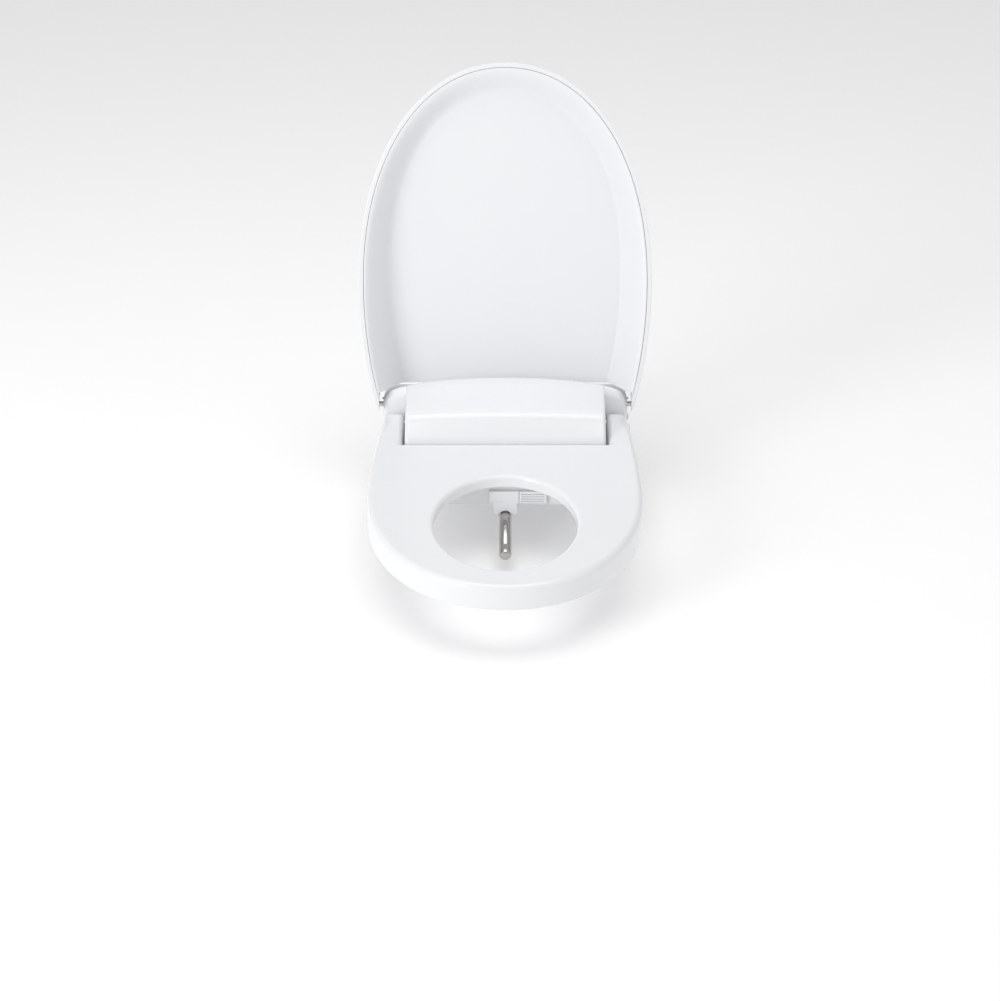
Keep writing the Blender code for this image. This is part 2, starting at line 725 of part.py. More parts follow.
def make_base_tray(parent):
    """Lower casing: open tray with a raised floor over the bracket and a slot for the nozzle."""
    floor = 2.6 * MM
    tray = add_object("base_tray", prism(tray_outline(), 0, TRAY_TOP), (WARM_WHITE, 0.3), parent)
    cut(tray, prism(tray_outline(WALL), floor, TRAY_TOP + 5 * MM))
    half_x, half_y = PLATE_HALF
    recess_x = half_x + 1 * MM
    roof = PLATE_THICK + 0.8 * MM
    raised_x = recess_x + 3 * MM
    raised_front = -half_y - 5 * MM
    raised = box((-raised_x, raised_front, 1 * MM), (raised_x, REAR_Y - 1 * MM, roof + 2.4 * MM))
    weld(tray, raised)
    cut(tray, box((-recess_x, -half_y - 1.4 * MM, -5 * MM), (recess_x, REAR_Y + 5 * MM, roof)))
    slot_half = 14 * MM
    cut(tray, box((-slot_half, BAY_FRONT - 5 * MM, -5 * MM), (slot_half, -93 * MM, 17 * MM)))
    gate_low, gate_high = 2.8 * MM, 20 * MM
    outlet_low = (DUCT[0] + 1 * MM, BAY_FRONT - 5 * MM, gate_low)
    outlet_high = (DUCT[1] - 1 * MM, BAY_FRONT + 5 * MM, gate_high)
    cut(tray, box(outlet_low, outlet_high))
    cut(tray, rod(13 * MM, (-148 * MM, 36 * MM, -5 * MM), (-148 * MM, 36 * MM, 5 * MM)))
    side = BODY_HALF
    cut(tray, box((side - 6 * MM, 12 * MM, 9 * MM), (side + 3 * MM, 24.6 * MM, 20 * MM)))
    cut(tray, rod(7 * MM, (-side - 5 * MM, 18 * MM, 14 * MM), (-side + 5 * MM, 18 * MM, 14 * MM)))
    cut(tray, rod(6.4 * MM, (128 * MM, REAR_Y - 6 * MM, 15 * MM), (128 * MM, REAR_Y + 5 * MM, 15 * MM)))
    return tray


def make_bay_cover(parent):
    """Flat cover of the nozzle bay, under the seat's bridge."""
    margin = GAP
    bay = BAY_HALF
    corner = 14 * MM
    rear = TONGUE_FRONT - GAP
    half = [
        (bay - corner, BAY_FRONT),
        (bay - corner * 0.3, BAY_FRONT + corner * 0.3),
        (bay, BAY_FRONT + corner),
        (bay, rear),
    ]
    outline = half + [(-x, y) for x, y in half[::-1]]
    return add_object("bay_cover", prism(outline, TRAY_TOP + margin, BAY_TOP), (WARM_WHITE, 0.3), parent)


def make_water_heater(parent):
    """Water tank with its two pipe stubs."""
    tank = rounded_box((-118 * MM, -78 * MM, 11 * MM), (-46 * MM, -6 * MM, 52 * MM), 12 * MM)
    heater = add_object("water_heater", tank, ((0.78, 0.76, 0.70), 0.5), parent)
    weld(heater, rod(4 * MM, (-100 * MM, -8 * MM, 24 * MM), (-100 * MM, 2 * MM, 24 * MM), 16))
    weld(heater, rod(4 * MM, (-50 * MM, -70 * MM, 24 * MM), (-36 * MM, -70 * MM, 24 * MM), 16))
    return heater


def make_valves(parent):
    """Shut-off valve behind the tank and the flow valve that feeds the nozzle."""
    body = box((-118 * MM, 8 * MM, 12 * MM), (-86 * MM, 30 * MM, 34 * MM))
    solenoid = add_object("solenoid_valve", body, ((0.35, 0.36, 0.38), 0.5), parent)
    weld(solenoid, rod(9 * MM, (-102 * MM, 19 * MM, 30 * MM), (-102 * MM, 19 * MM, 50 * MM)))
    flow = rod(9 * MM, (-34 * MM, -34 * MM, 22 * MM), (-34 * MM, -6 * MM, 22 * MM))
    add_object("flow_valve", flow, ((0.85, 0.85, 0.82), 0.45), parent)
    inlet = turned(
        [
            (10.2 * MM, 1 * MM),
            (10.2 * MM, 15 * MM),
            (12 * MM, 15.6 * MM),
            (12 * MM, 22 * MM),
            (6 * MM, 22 * MM),
            (6 * MM, 30 * MM),
        ],
        (-148 * MM, 36 * MM, 0),
        (0, 0, 1),
    )
    add_object("water_inlet", inlet, ((0.72, 0.73, 0.74), 0.25, 1.0), parent)


def make_electronics(parent):
    """Control board, remote receiver and power gland."""
    board = box((-118 * MM, -44 * MM, 66 * MM), (-30 * MM, 10 * MM, 67.6 * MM))
    control = add_object("control_board", board, ((0.05, 0.25, 0.12), 0.5), parent)
    chips = [((-106, -30), 18, 6), ((-76, -32), 22, 4), ((-50, -18), 10, 8)]
    for (x, y), size, height in chips:
        lo = (x * MM, y * MM, 67 * MM)
        hi = ((x + size) * MM, (y + size) * MM, (67 + height) * MM)
        weld(control, box(lo, hi))
    receiver = box((34 * MM, -20 * MM, 74 * MM), (58 * MM, -6 * MM, 75.4 * MM))
    eye = add_object("receiver_board", receiver, ((0.05, 0.25, 0.12), 0.5), parent)
    weld(eye, rod(2.5 * MM, (46 * MM, -13 * MM, 75 * MM), (46 * MM, -13 * MM, 79 * MM), 16))
    gland = turned(
        [(6 * MM, -8 * MM), (6 * MM, 0.4 * MM), (8.5 * MM, 0.4 * MM), (8 * MM, 4 * MM), (5.5 * MM, 4 * MM)],
        (128 * MM, REAR_Y, 15 * MM),
        (0, 1, 0),
    )
    add_object("power_gland", gland, ((0.12, 0.12, 0.13), 0.6), parent)
    plug = turned(
        [(6.6 * MM, -7 * MM), (6.6 * MM, 0.4 * MM), (8.6 * MM, 0.4 * MM), (8 * MM, 2.6 * MM)],
        (-BODY_HALF, 18 * MM, 14 * MM),
        (-1, 0, 0),
    )
    add_object("drain_plug", plug, (WARM_WHITE, 0.35), parent)


def make_dampers(parent):
    """Soft-close dampers in line with a seat pin and a lid pin."""
    seat_y, seat_z = SEAT_AXIS
    drum = rod(9 * MM, (92 * MM, seat_y, seat_z), (121.4 * MM, seat_y, seat_z))
    add_object("seat_damper", drum, ((0.2, 0.2, 0.22), 0.5), parent)
    lid_y, lid_z = LID_AXIS
    drum = rod(9 * MM, (104 * MM, lid_y, lid_z), (130 * MM, lid_y, lid_z))
    add_object("lid_damper", drum, ((0.2, 0.2, 0.22), 0.5), parent)


def make_dryer(parent):
    """Fan housing, motor, duct and air heater."""
    cx, cy = FAN_CENTRE
    top = FAN_FLOOR + FAN_HEIGHT
    drum = rod(FAN_R, (cx, cy, FAN_FLOOR), (cx, cy, top), 32)
    case = add_object("fan_housing", drum, ((0.5, 0.51, 0.53), 0.5), parent)
    cut(case, rod(FAN_R - 2.2 * MM, (cx, cy, FAN_FLOOR + 2 * MM), (cx, cy, top + 5 * MM), 32))
    mouth_low = (DUCT[1] - 4 * MM, cy - FAN_R, FAN_FLOOR + 2 * MM)
    mouth_high = (cx - 10 * MM, cy - 12 * MM, top - 8 * MM)
    cut(case, box(mouth_low, mouth_high))
    motor = turned(
        [(12 * MM, 0), (12 * MM, 18 * MM), (2 * MM, 18 * MM), (2 * MM, 19 * MM)],
        (cx, cy, top + 5 * MM),
        (0, 0, 1),
    )
    add_object("fan_motor", motor, ((0.55, 0.56, 0.58), 0.35, 0.8), parent)
    x0, x1 = DUCT
    z0, z1 = DUCT_Z
    tunnel = box((x0, BAY_FRONT + 4 * MM, z0), (x1, -66 * MM, z1))
    duct = add_object("dryer_duct", tunnel, ((0.6, 0.61, 0.62), 0.5), parent)
    skin = 1.6 * MM
    cut(duct, box((x0 + skin, BAY_FRONT - 4 * MM, z0 + skin), (x1 - skin, -60 * MM, z1 - skin)))
    coil = box((x0 + 4 * MM, -110 * MM, z0 + 4 * MM), (x1 - 4 * MM, -84 * MM, z1 - 4 * MM))
    add_object("dryer_heater", coil, ((0.35, 0.33, 0.3), 0.5, 0.6), parent)


def make_fan_impeller(parent):
    """Centrifugal rotor: hub, floor disc and curved blades."""
    hub = turned([(4 * MM, 0), (4 * MM, 20 * MM)], (0, 0, 0), (0, 0, 1), 20)
    rotor = add_object("fan_impeller", hub, ((0.3, 0.31, 0.33), 0.5), parent)
    disc = turned([(26 * MM, 0), (26 * MM, 2 * MM)], (0, 0, 0), (0, 0, 1), 36)
    weld(rotor, disc)
    blades = 12
    for k in range(blades):
        a = 2 * math.pi * k / blades
        blade = box((18 * MM, -0.8 * MM, 1 * MM), (25 * MM, 0.8 * MM, 14 * MM))
        lean = Matrix.Rotation(math.radians(28), 4, "Z")
        bmesh.ops.transform(blade, matrix=Matrix.Rotation(a, 4, "Z") @ lean, verts=blade.verts)
        weld(rotor, blade)
    return rotor


def make_case_screws(parent):
    """Screws that hold the two casings together, driven from below."""
    for k, (x, y) in enumerate(((-124, -76), (124, -76), (-112, 54), (112, 54)), 1):
        screw = turned(
            [(3.4 * MM, 3.2 * MM), (3.4 * MM, 5.2 * MM), (1.5 * MM, 5.6 * MM), (1.5 * MM, 20 * MM)],
            (x * MM, y * MM, 0),
            (0, 0, 1),
            16,
        )
        add_object(f"case_screw_{k}", screw, ((0.6, 0.6, 0.62), 0.35, 1.0), parent)


# --- wash nozzle ---------------------------------------------------------------------------

def along(s, lift=0.0):
    """Point on the nozzle's axis at distance s past its exit, lifted square to the axis."""
    a = math.radians(NOZZLE_DEG)
    y0, z0 = NOZZLE_EXIT
    y = y0 - s * math.cos(a) - lift * math.sin(a)
    z = z0 - s * math.sin(a) + lift * math.cos(a)
    return Vector((0, y, z))


def make_nozzle(parent):
    """Steel wash tube and its end cap with spray holes."""
    tube_end = NOZZLE_OUT - TIP_LENGTH - GAP
    tube = rod(NOZZLE_R, along(-TUBE_TAIL), along(tube_end), 32)
    add_object("nozzle_tube", tube, ((0.72, 0.72, 0.73), 0.12, 1.0), parent)
    tip = turned(
        [
            (NOZZLE_R, 0),
            (NOZZLE_R, TIP_LENGTH - 3 * MM),
            (NOZZLE_R - 1 * MM, TIP_LENGTH - 1 * MM),
            (NOZZLE_R - 3 * MM, TIP_LENGTH),
        ],
        along(NOZZLE_OUT - TIP_LENGTH),
        along(1) - along(0),
        32,
    )
    head = add_object("nozzle_tip", tip, ((0.5, 0.5, 0.52), 0.2, 1.0), parent)
    for ahead, across in ((7, 0), (9.4, -1.6), (9.4, 1.6)):
        middle = along(NOZZLE_OUT - TIP_LENGTH + ahead * MM)
        high = along(NOZZLE_OUT - TIP_LENGTH + ahead * MM, NOZZLE_R + 2 * MM)
        shift = Vector((across * MM, 0, 0))
        low = middle + (high - middle) * 0.65
        cut(head, rod(0.6 * MM, low + shift, high + shift, 10))


def rack_profile():
    """Side outline of the rack as (s, lift) pairs, teeth up."""
    pitch = math.pi * MODULE
    slope = math.tan(math.radians(PRESSURE_DEG))
    head = 0.9 * MODULE
    root = 1.2 * MODULE
    start = PINION_AT - 4 * pitch
    end = -TUBE_TAIL - GAP
    count = int((end - start) / pitch)
    top = []
    for k in range(count):
        middle = start + (k + 0.5) * pitch
        half = pitch / 4 - BACKLASH / 4
        top.append((middle - half - root * slope, -root))
        top.append((middle - half + head * slope, head))
        top.append((middle + half - head * slope, head))
        top.append((middle + half + root * slope, -root))
    return [(start, -4.6 * MM), (start, -root)] + top + [(end, -root), (end, -4.6 * MM)]


def make_nozzle_rack(parent):
    """Toothed tail of the nozzle carriage."""
    half = 3.5 * MM
    loops = []
    for x in (-half, half):
        loops.append([along(s, lift) + Vector((x, 0, 0)) for s, lift in rack_profile()])
    return add_object("nozzle_rack", loft(loops), ((0.85, 0.85, 0.83), 0.5), parent)


def pinion_tooth_loop():
    """Outline of the pinion with involute flanks, one tooth centred straight down."""
    pitch_r = MODULE * PINION_TEETH / 2
    base_r = pitch_r * math.cos(math.radians(PRESSURE_DEG))
    tip_r = pitch_r + 0.9 * MODULE
    root_r = pitch_r - 1.2 * MODULE

    def involute(radius):
        if radius <= base_r:
            return 0
        t = math.sqrt((radius / base_r) ** 2 - 1)
        return t - math.atan(t)

    half_at_pitch = math.pi / (2 * PINION_TEETH) - BACKLASH / (4 * pitch_r)
    radii = [root_r, base_r, pitch_r, (pitch_r + tip_r) / 2, tip_r]
    points = []
    for k in range(PINION_TEETH):
        centre = -math.pi / 2 + 2 * math.pi * k / PINION_TEETH
        flank = []
        for radius in radii:
            half = half_at_pitch + involute(pitch_r) - involute(radius)
            flank.append((radius, half))
        for radius, half in flank:
            points.append((radius, centre - half))
        for radius, half in flank[::-1]:
            points.append((radius, centre + half))
    return [(r * math.cos(a), r * math.sin(a)) for r, a in points]


def pinion_centre():
    return along(PINION_AT, MODULE * PINION_TEETH / 2)


def make_drive(parent, spin_parent):
    """Pinion on the rack and the motor that turns it."""
    a = math.radians(NOZZLE_DEG)
    half = 3 * MM
    loops = []
    for x in (-half, half):
        loop = []
        for u, v in pinion_tooth_loop():
            loop.append((x, -u * math.cos(a) - v * math.sin(a), -u * math.sin(a) + v * math.cos(a)))
        loops.append(loop)
    pinion = add_object("drive_pinion", loft(loops), ((0.9, 0.9, 0.88), 0.5), spin_parent)
    weld(pinion, rod(2 * MM, (2 * MM, 0, 0), (9.5 * MM, 0, 0), 16))
    centre = pinion_centre()
    start = centre + Vector((5 * MM, 0, 0))
    motor = rod(9 * MM, start, start + Vector((13.5 * MM, 0, 0)), 28)
    case = add_object("nozzle_motor", motor, ((0.6, 0.6, 0.62), 0.35, 0.9), parent)
    cut(case, rod(2.5 * MM, centre, centre + Vector((12 * MM, 0, 0)), 16))


def make_nozzle_guide(parent):
    """Sleeve that the wash tube slides in, on a foot."""
    outer = rod(10.6 * MM, along(-60 * MM), along(-10 * MM), 28)
    guide = add_object("nozzle_guide", outer, ((0.88, 0.88, 0.86), 0.4), parent)
    cut(guide, rod(NOZZLE_R + 0.5 * MM, along(-70 * MM), along(5 * MM), 28))
    return guide


def make_nozzle_gate(parent):
    """White gate over the nozzle's exit: plate, hanging tab with an arch, hinge along its top."""
    y0, y1 = BAY_FRONT - 4.6 * MM, BAY_FRONT - 0.6 * MM
    top = 21 * MM
    plate = box((-20.8 * MM, y0, 4 * MM), (17.6 * MM, y1, top))
    gate = add_object("nozzle_gate", plate, (WHITE, 0.25), None)
    weld(gate, box((-15.6 * MM, y0, -12 * MM), (15.2 * MM, y1, 6 * MM)))
    cut(gate, rod(NOZZLE_R + 1.6 * MM, along(-30 * MM), along(20 * MM), 28))
    return hang(gate, parent)


def make_dryer_flap(parent):
    """Louvred flap over the warm-air outlet."""
    y0, y1 = BAY_FRONT - 4.6 * MM, BAY_FRONT - 0.6 * MM
    plate = box((18.2 * MM, y0, 4 * MM), (53.6 * MM, y1, 21 * MM))
    flap = add_object("dryer_flap", plate, (WHITE, 0.25), None)
    for k in range(4):
        z = (6.2 + 3.4 * k) * MM
        cut(flap, box((21 * MM, y0 - 1 * MM, z), (50.6 * MM, y0 + 1.6 * MM, z + 1.2 * MM)))
    return hang(flap, parent)


def hang(obj, parent):
    """Parent an object to an empty without moving it."""
    obj.parent = parent
    obj.matrix_parent_inverse = Matrix.Translation(parent.location).inverted()
    return obj


# --- buttons and filter ----------------------------------------------------------------------

def make_side_controls(release, power, filter_slide):
    """Release button, power button and deodoriser cartridge in the right end."""
    side = BODY_HALF
    tab = box((side - 5 * MM, 12.6 * MM, 9.6 * MM), (side + 5 * MM, 24 * MM, 19.4 * MM))
    hang(add_object("release_button", tab, ((0.7, 0.71, 0.72), 0.4), None), release)
    block = bpy.data.objects["hinge_block_right"]
    cut(block, rod(5.4 * MM, (side - 8 * MM, 16 * MM, 36 * MM), (side + 5 * MM, 16 * MM, 36 * MM)))
    cap_profile = [(4.9 * MM, -4 * MM), (4.9 * MM, 1.6 * MM), (4 * MM, 2.4 * MM)]
    cap = turned(cap_profile, (side, 16 * MM, 36 * MM), (1, 0, 0))
    hang(add_object("power_button", cap, ((0.75, 0.76, 0.77), 0.35), None), power)
    cut(block, box((side - 10 * MM, 28 * MM, 30 * MM), (side + 5 * MM, 56 * MM, 50 * MM)))
    body = box((side - 24 * MM, 28.6 * MM, 30.6 * MM), (side + 0.6 * MM, 55.4 * MM, 49.4 * MM))
    cartridge = add_object("deodoriser_cartridge", body, ((0.6, 0.62, 0.64), 0.5), None)
    for k in range(5):
        z = (33.5 + 3 * k) * MM
        cut(cartridge, box((side - 0.8 * MM, 33 * MM, z), (side + 2 * MM, 51 * MM, z + 1.2 * MM)))
    hang(cartridge, filter_slide)


# --- bracket -------------------------------------------------------------------------------

def make_bracket(parent):
    """Deck plate with two slotted, counterbored holes, and its bolts, washers and nuts."""
    half_x, half_y = PLATE_HALF
    plate = rounded_box((-half_x, -half_y, 0), (half_x, half_y, PLATE_THICK), 6 * MM)
    bracket = add_object("mounting_plate", plate, ((0.8, 0.81, 0.8), 0.4), parent)
    for name, side in (("left", -1), ("right", 1)):
        x = side * BOLT_X
        slot = rounded_box((x - 13 * MM, -3.4 * MM, -2 * MM), (x + 13 * MM, 3.4 * MM, 20 * MM), 3.3 * MM)
        cut(bracket, slot)
        head_low = PLATE_THICK - 3.4 * MM
        seat_low = (x - 17 * MM, -8 * MM, head_low - GAP)
        cut(bracket, rounded_box(seat_low, (x + 17 * MM, 8 * MM, 20 * MM), 4 * MM))
        bolt = turned(
            [
                (BOLT_R, -BOLT_LENGTH),
                (BOLT_R, head_low),
                (7 * MM, head_low),
                (7 * MM, PLATE_THICK - 0.4 * MM),
            ],
            (x, 0, 0),
            (0, 0, 1),
            20,
        )
        add_object(f"deck_bolt_{name}", bolt, ((0.75, 0.75, 0.76), 0.3, 1.0), parent)
        washer_profile = [(13 * MM, -25 * MM), (13 * MM, -22 * MM), (9 * MM, -18 * MM)]
        washer = turned(washer_profile, (x, 0, 0), (0, 0, 1))
        ring = add_object(f"deck_washer_{name}", washer, ((0.1, 0.1, 0.1), 0.7), parent)
        bore = BOLT_R + GAP
        cut(ring, rod(bore, (x, 0, -30 * MM), (x, 0, -10 * MM), 20))
        nut_profile = [(12 * MM, -40 * MM), (12 * MM, -28 * MM), (10 * MM, -25.4 * MM)]
        nut = turned(nut_profile, (x, 0, 0), (0, 0, 1), 12)
        wing = add_object(f"deck_nut_{name}", nut, ((0.82, 0.82, 0.8), 0.45), parent)
        cut(wing, rod(bore, (x, 0, -50 * MM), (x, 0, -20 * MM), 20))


def empty(name, location=(0, 0, 0), turn_x=0.0, parent=None):
    """Axis marker that moving pieces are parented to."""
    marker = bpy.data.objects.new(name, None)
    bpy.context.collection.objects.link(marker)
    marker.location = location
    marker.rotation_euler = (turn_x, 0, 0)
    if parent:
        marker.parent = parent
    return marker


def main():
    clear_scene()
    unit = empty("main_unit")
    bracket = empty("bracket")
    lid = empty("lid", (0, *LID_AXIS), -math.radians(LID_OPEN_DEG))
    seat = empty("seat")
    nozzle = empty("nozzle")
    pinion = empty("pinion", pinion_centre())
    gate = empty("gate", (0, BAY_FRONT - 2.6 * MM, 21 * MM))
    flap = empty("flap", (36 * MM, BAY_FRONT - 2.6 * MM, 21 * MM))
    fan = empty("fan", (*FAN_CENTRE, FAN_FLOOR + 3 * MM))
    release = empty("release", (BODY_HALF, 18 * MM, 14 * MM))
    power = empty("power", (BODY_HALF, 16 * MM, 36 * MM))
    filter_slide = empty("filter_slide", (BODY_HALF, 42 * MM, 40 * MM))
    make_bracket(bracket)
    make_base_tray(unit)
    make_bay_cover(unit)
    make_top_cover(unit)
    make_hinge_blocks(unit)
    make_water_heater(unit)
    make_valves(unit)
    make_electronics(unit)
    make_dampers(unit)
    make_dryer(unit)
    make_case_screws(unit)
    make_nozzle_guide(unit)
    make_fan_impeller(fan)
    make_nozzle(nozzle)
    make_nozzle_rack(nozzle)
    make_drive(unit, pinion)
    make_nozzle_gate(gate)
    make_dryer_flap(flap)
    make_side_controls(release, power, filter_slide)
    make_seat_top(seat)
    make_seat_base(seat)
    make_seat_heater(seat)
    make_seat_bumpers(seat)
    make_seat_pins(seat)
    make_lid_cover(lid)
    make_lid_liner(lid)
    make_lid_pins(lid)
    bpy.context.view_layer.update()


main()
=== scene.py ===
# %% [markdown]
# # An electric bidet seat, from bracket to lid
# The moving frame comes ready made: one object per part, each riding on its body. This lesson
# gives the visible shells finer surfaces, gives every part its finish, and sets up a soft
# white studio. Everything is in metres, +Z up, with the user standing on the -Y side.

# %% Load the frame
import math

import bmesh
import bpy
import numpy as np
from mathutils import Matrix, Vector


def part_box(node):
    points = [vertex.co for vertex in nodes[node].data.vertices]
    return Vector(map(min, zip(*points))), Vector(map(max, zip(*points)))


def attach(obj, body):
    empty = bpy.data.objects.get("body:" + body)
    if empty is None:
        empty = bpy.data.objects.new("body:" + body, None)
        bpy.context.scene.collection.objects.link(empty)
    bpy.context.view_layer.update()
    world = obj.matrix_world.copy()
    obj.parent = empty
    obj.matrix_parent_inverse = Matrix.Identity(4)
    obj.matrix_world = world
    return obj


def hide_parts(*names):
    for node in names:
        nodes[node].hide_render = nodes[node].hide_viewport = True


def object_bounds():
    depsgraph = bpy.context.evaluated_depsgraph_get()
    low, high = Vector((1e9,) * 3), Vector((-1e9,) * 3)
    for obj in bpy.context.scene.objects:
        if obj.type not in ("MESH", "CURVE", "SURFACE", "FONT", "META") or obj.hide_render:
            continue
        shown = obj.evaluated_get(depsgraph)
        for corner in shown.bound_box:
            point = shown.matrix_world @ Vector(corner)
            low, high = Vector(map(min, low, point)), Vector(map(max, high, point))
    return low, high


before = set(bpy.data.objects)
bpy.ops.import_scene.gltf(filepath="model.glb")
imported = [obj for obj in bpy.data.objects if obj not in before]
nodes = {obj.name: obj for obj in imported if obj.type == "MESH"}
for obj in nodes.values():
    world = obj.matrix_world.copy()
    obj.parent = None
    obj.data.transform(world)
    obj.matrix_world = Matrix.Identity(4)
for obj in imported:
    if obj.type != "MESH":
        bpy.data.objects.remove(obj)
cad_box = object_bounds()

MM = 0.001
print("parts in the frame:", len(nodes))


def node_box(name):
    """Lowest and highest corner of a part, as numpy arrays."""
    low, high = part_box(name)
    return np.array(low), np.array(high)


# %% [markdown]
# ## Camera
# The view is from the front and well above, where a person stands who is about to use the seat.
# A long lens is used from far away, because a short one close by would spread the lid's two
# sides apart. A very small sideways shift centres the object without turning the camera. Focal
# length and shift are counted in units of which the long side of the frame has 1001.

# %% Camera
PITCH = math.radians(28.477)
FOCAL_LENGTH_UNITS = 2208
LONG_SIDE_UNITS = 1001
SENSOR = 36.0
SIDE_SHIFT = -5.3 / LONG_SIDE_UNITS

camera_data = bpy.data.cameras.new("camera")
camera = bpy.data.objects.new("camera", camera_data)
bpy.context.collection.objects.link(camera)
camera.location = (0, -2.6964, 1.3761)
camera.rotation_euler = (math.pi / 2 - PITCH, 0, 0)
camera_data.sensor_width = SENSOR
camera_data.lens = FOCAL_LENGTH_UNITS * SENSOR / LONG_SIDE_UNITS
camera_data.shift_x = SIDE_SHIFT
camera_data.clip_start = 0.05
bpy.context.scene.camera = camera
print("lens", round(camera_data.lens, 1), "mm")

# %% [markdown]
# ## Surfaces from numpy arrays
# Every new piece is a grid of points worked out in one go. A small set of helpers turns a grid
# into a mesh, closes a thin shell between two grids, and trims a shell with another closed
# shape where the real moulding stops at an edge.


# %% Grid helpers
def quads(rows, columns, offset=0, wrap=False):
    """Quads of a grid of rows x columns points; wrap joins the last column to the first."""
    i, j = np.meshgrid(np.arange(rows - 1), np.arange(columns - (0 if wrap else 1)), indexing="ij")
    k = (j + 1) % columns
    near, far = i * columns, (i + 1) * columns
    return np.stack([near + j, near + k, far + k, far + j], -1).reshape(-1, 4) + offset


def piece_from(name, points, faces, weld=1e-6):
    """Object from an array of points and a list of faces, doubles merged, normals outward."""
    mesh = bpy.data.meshes.new(name)
    mesh.from_pydata(np.asarray(points).reshape(-1, 3).tolist(), [], [list(map(int, f)) for f in faces])
    solid = bmesh.new()
    solid.from_mesh(mesh)
    bmesh.ops.remove_doubles(solid, verts=solid.verts, dist=weld)
    bmesh.ops.dissolve_degenerate(solid, edges=solid.edges, dist=weld)
    bmesh.ops.recalc_face_normals(solid, faces=solid.faces)
    solid.to_mesh(mesh)
    solid.free()
    mesh.shade_smooth()
    obj = bpy.data.objects.new(name, mesh)
    bpy.context.collection.objects.link(obj)
    return obj


def closed_loft(name, loops, weld=1e-6):
    """Closed skin through a stack of loops, shape (levels, points, 3), with flat caps at both ends."""
    loops = np.asarray(loops)
    levels, count = loops.shape[:2]
    faces = [tuple(f) for f in quads(levels, count, wrap=True)]
    faces.append(tuple(range(count)))
    faces.append(tuple(range((levels - 1) * count, levels * count)))
    return piece_from(name, loops, faces, weld)


def shell_between(name, upper, lower, weld=1e-6):
    """Closed thin shell between two grids of one layout; the last column meets itself on the spine."""
    rows, columns = upper.shape[:2]
    count = rows * columns
    faces = [tuple(f) for f in quads(rows, columns)]
    faces += [tuple(f) for f in quads(rows, columns, count)]
    index = np.arange(count).reshape(rows, columns)
    for line in (index[:, 0], index[0], index[-1]):
        near, far = line[:-1], line[1:]
        faces += [tuple(f) for f in np.stack([near, far, far + count, near + count], -1)]
    return piece_from(name, np.concatenate([upper.reshape(-1, 3), lower.reshape(-1, 3)]), faces, weld)


def trim(obj, cutter, operation="DIFFERENCE"):
    """Cut a closed shape away and keep the result as plain mesh."""
    step = obj.modifiers.new("trim", "BOOLEAN")
    step.operation = operation
    step.solver = "EXACT"
    step.object = cutter
    graph = bpy.context.evaluated_depsgraph_get()
    mesh = bpy.data.meshes.new_from_object(obj.evaluated_get(graph))
    obj.modifiers.clear()
    obj.data = mesh
    bpy.data.objects.remove(cutter, do_unlink=True)
    return obj


def block(low, high):
    """Closed box between two corners, as a loft of two square loops."""
    (x0, y0, z0), (x1, y1, z1) = low, high
    square = np.array([(x0, y0), (x1, y0), (x1, y1), (x0, y1)])
    return closed_loft("cutter", [np.column_stack([square, np.full(4, z)]) for z in (z0, z1)])


def turned(name, profile, centre, axis, sides=64):
    """Solid of revolution: radius and height along the axis for each level of the profile."""
    profile = np.array(profile, float)
    axis = np.array(axis, float) / np.linalg.norm(axis)
    side = np.cross(axis, (1, 0, 0) if abs(axis[0]) < 0.9 else (0, 1, 0))
    side /= np.linalg.norm(side)
    third = np.cross(axis, side)
    angle = np.linspace(0, 2 * np.pi, sides, endpoint=False)
    ring = np.cos(angle)[:, None] * side + np.sin(angle)[:, None] * third
    loops = np.array(centre) + profile[:, :1, None] * ring + profile[:, 1:, None] * axis
    return closed_loft(name, loops)


def creased(obj, degrees=32):
    """Smooth shading that stops at edges sharper than an angle."""
    obj.data.shade_smooth()
    obj.data.set_sharp_from_angle(angle=math.radians(degrees))
    return obj


def soft_corners(points, radii, steps=5):
    """Polylines with every inner corner replaced by a short curve.

    points has shape (lines, corners, 2). Each corner becomes a parabola that starts and ends at
    its radius from the corner along the two legs, at most half a leg.
    """
    corner = points[:, 1:-1]
    back = points[:, :-2] - corner
    ahead = points[:, 2:] - corner
    back_length = np.linalg.norm(back, axis=-1, keepdims=True)
    ahead_length = np.linalg.norm(ahead, axis=-1, keepdims=True)
    reach = np.asarray(radii, float)[None, :, None]
    start = corner + back / back_length * np.minimum(reach, back_length * 0.48)
    end = corner + ahead / ahead_length * np.minimum(reach, ahead_length * 0.48)
    t = np.linspace(0, 1, steps)[None, None, :, None]
    curve = (1 - t) ** 2 * start[:, :, None] + t**2 * end[:, :, None]
    curve += 2 * t * (1 - t) * corner[:, :, None]
    inner = curve.reshape(len(points), -1, 2)
    return np.concatenate([points[:, :1], inner, points[:, -1:]], axis=1)


print("helpers ready")

# %% [markdown]
# ## Shader maths as plain expressions
# A finish is mostly a little variation: moulded plastic is never perfectly even, and brushed
# metal has fine lines. The class below lets us write such patterns as sums and products.


# %% Socket class
EVEN = (1, 1, 1)


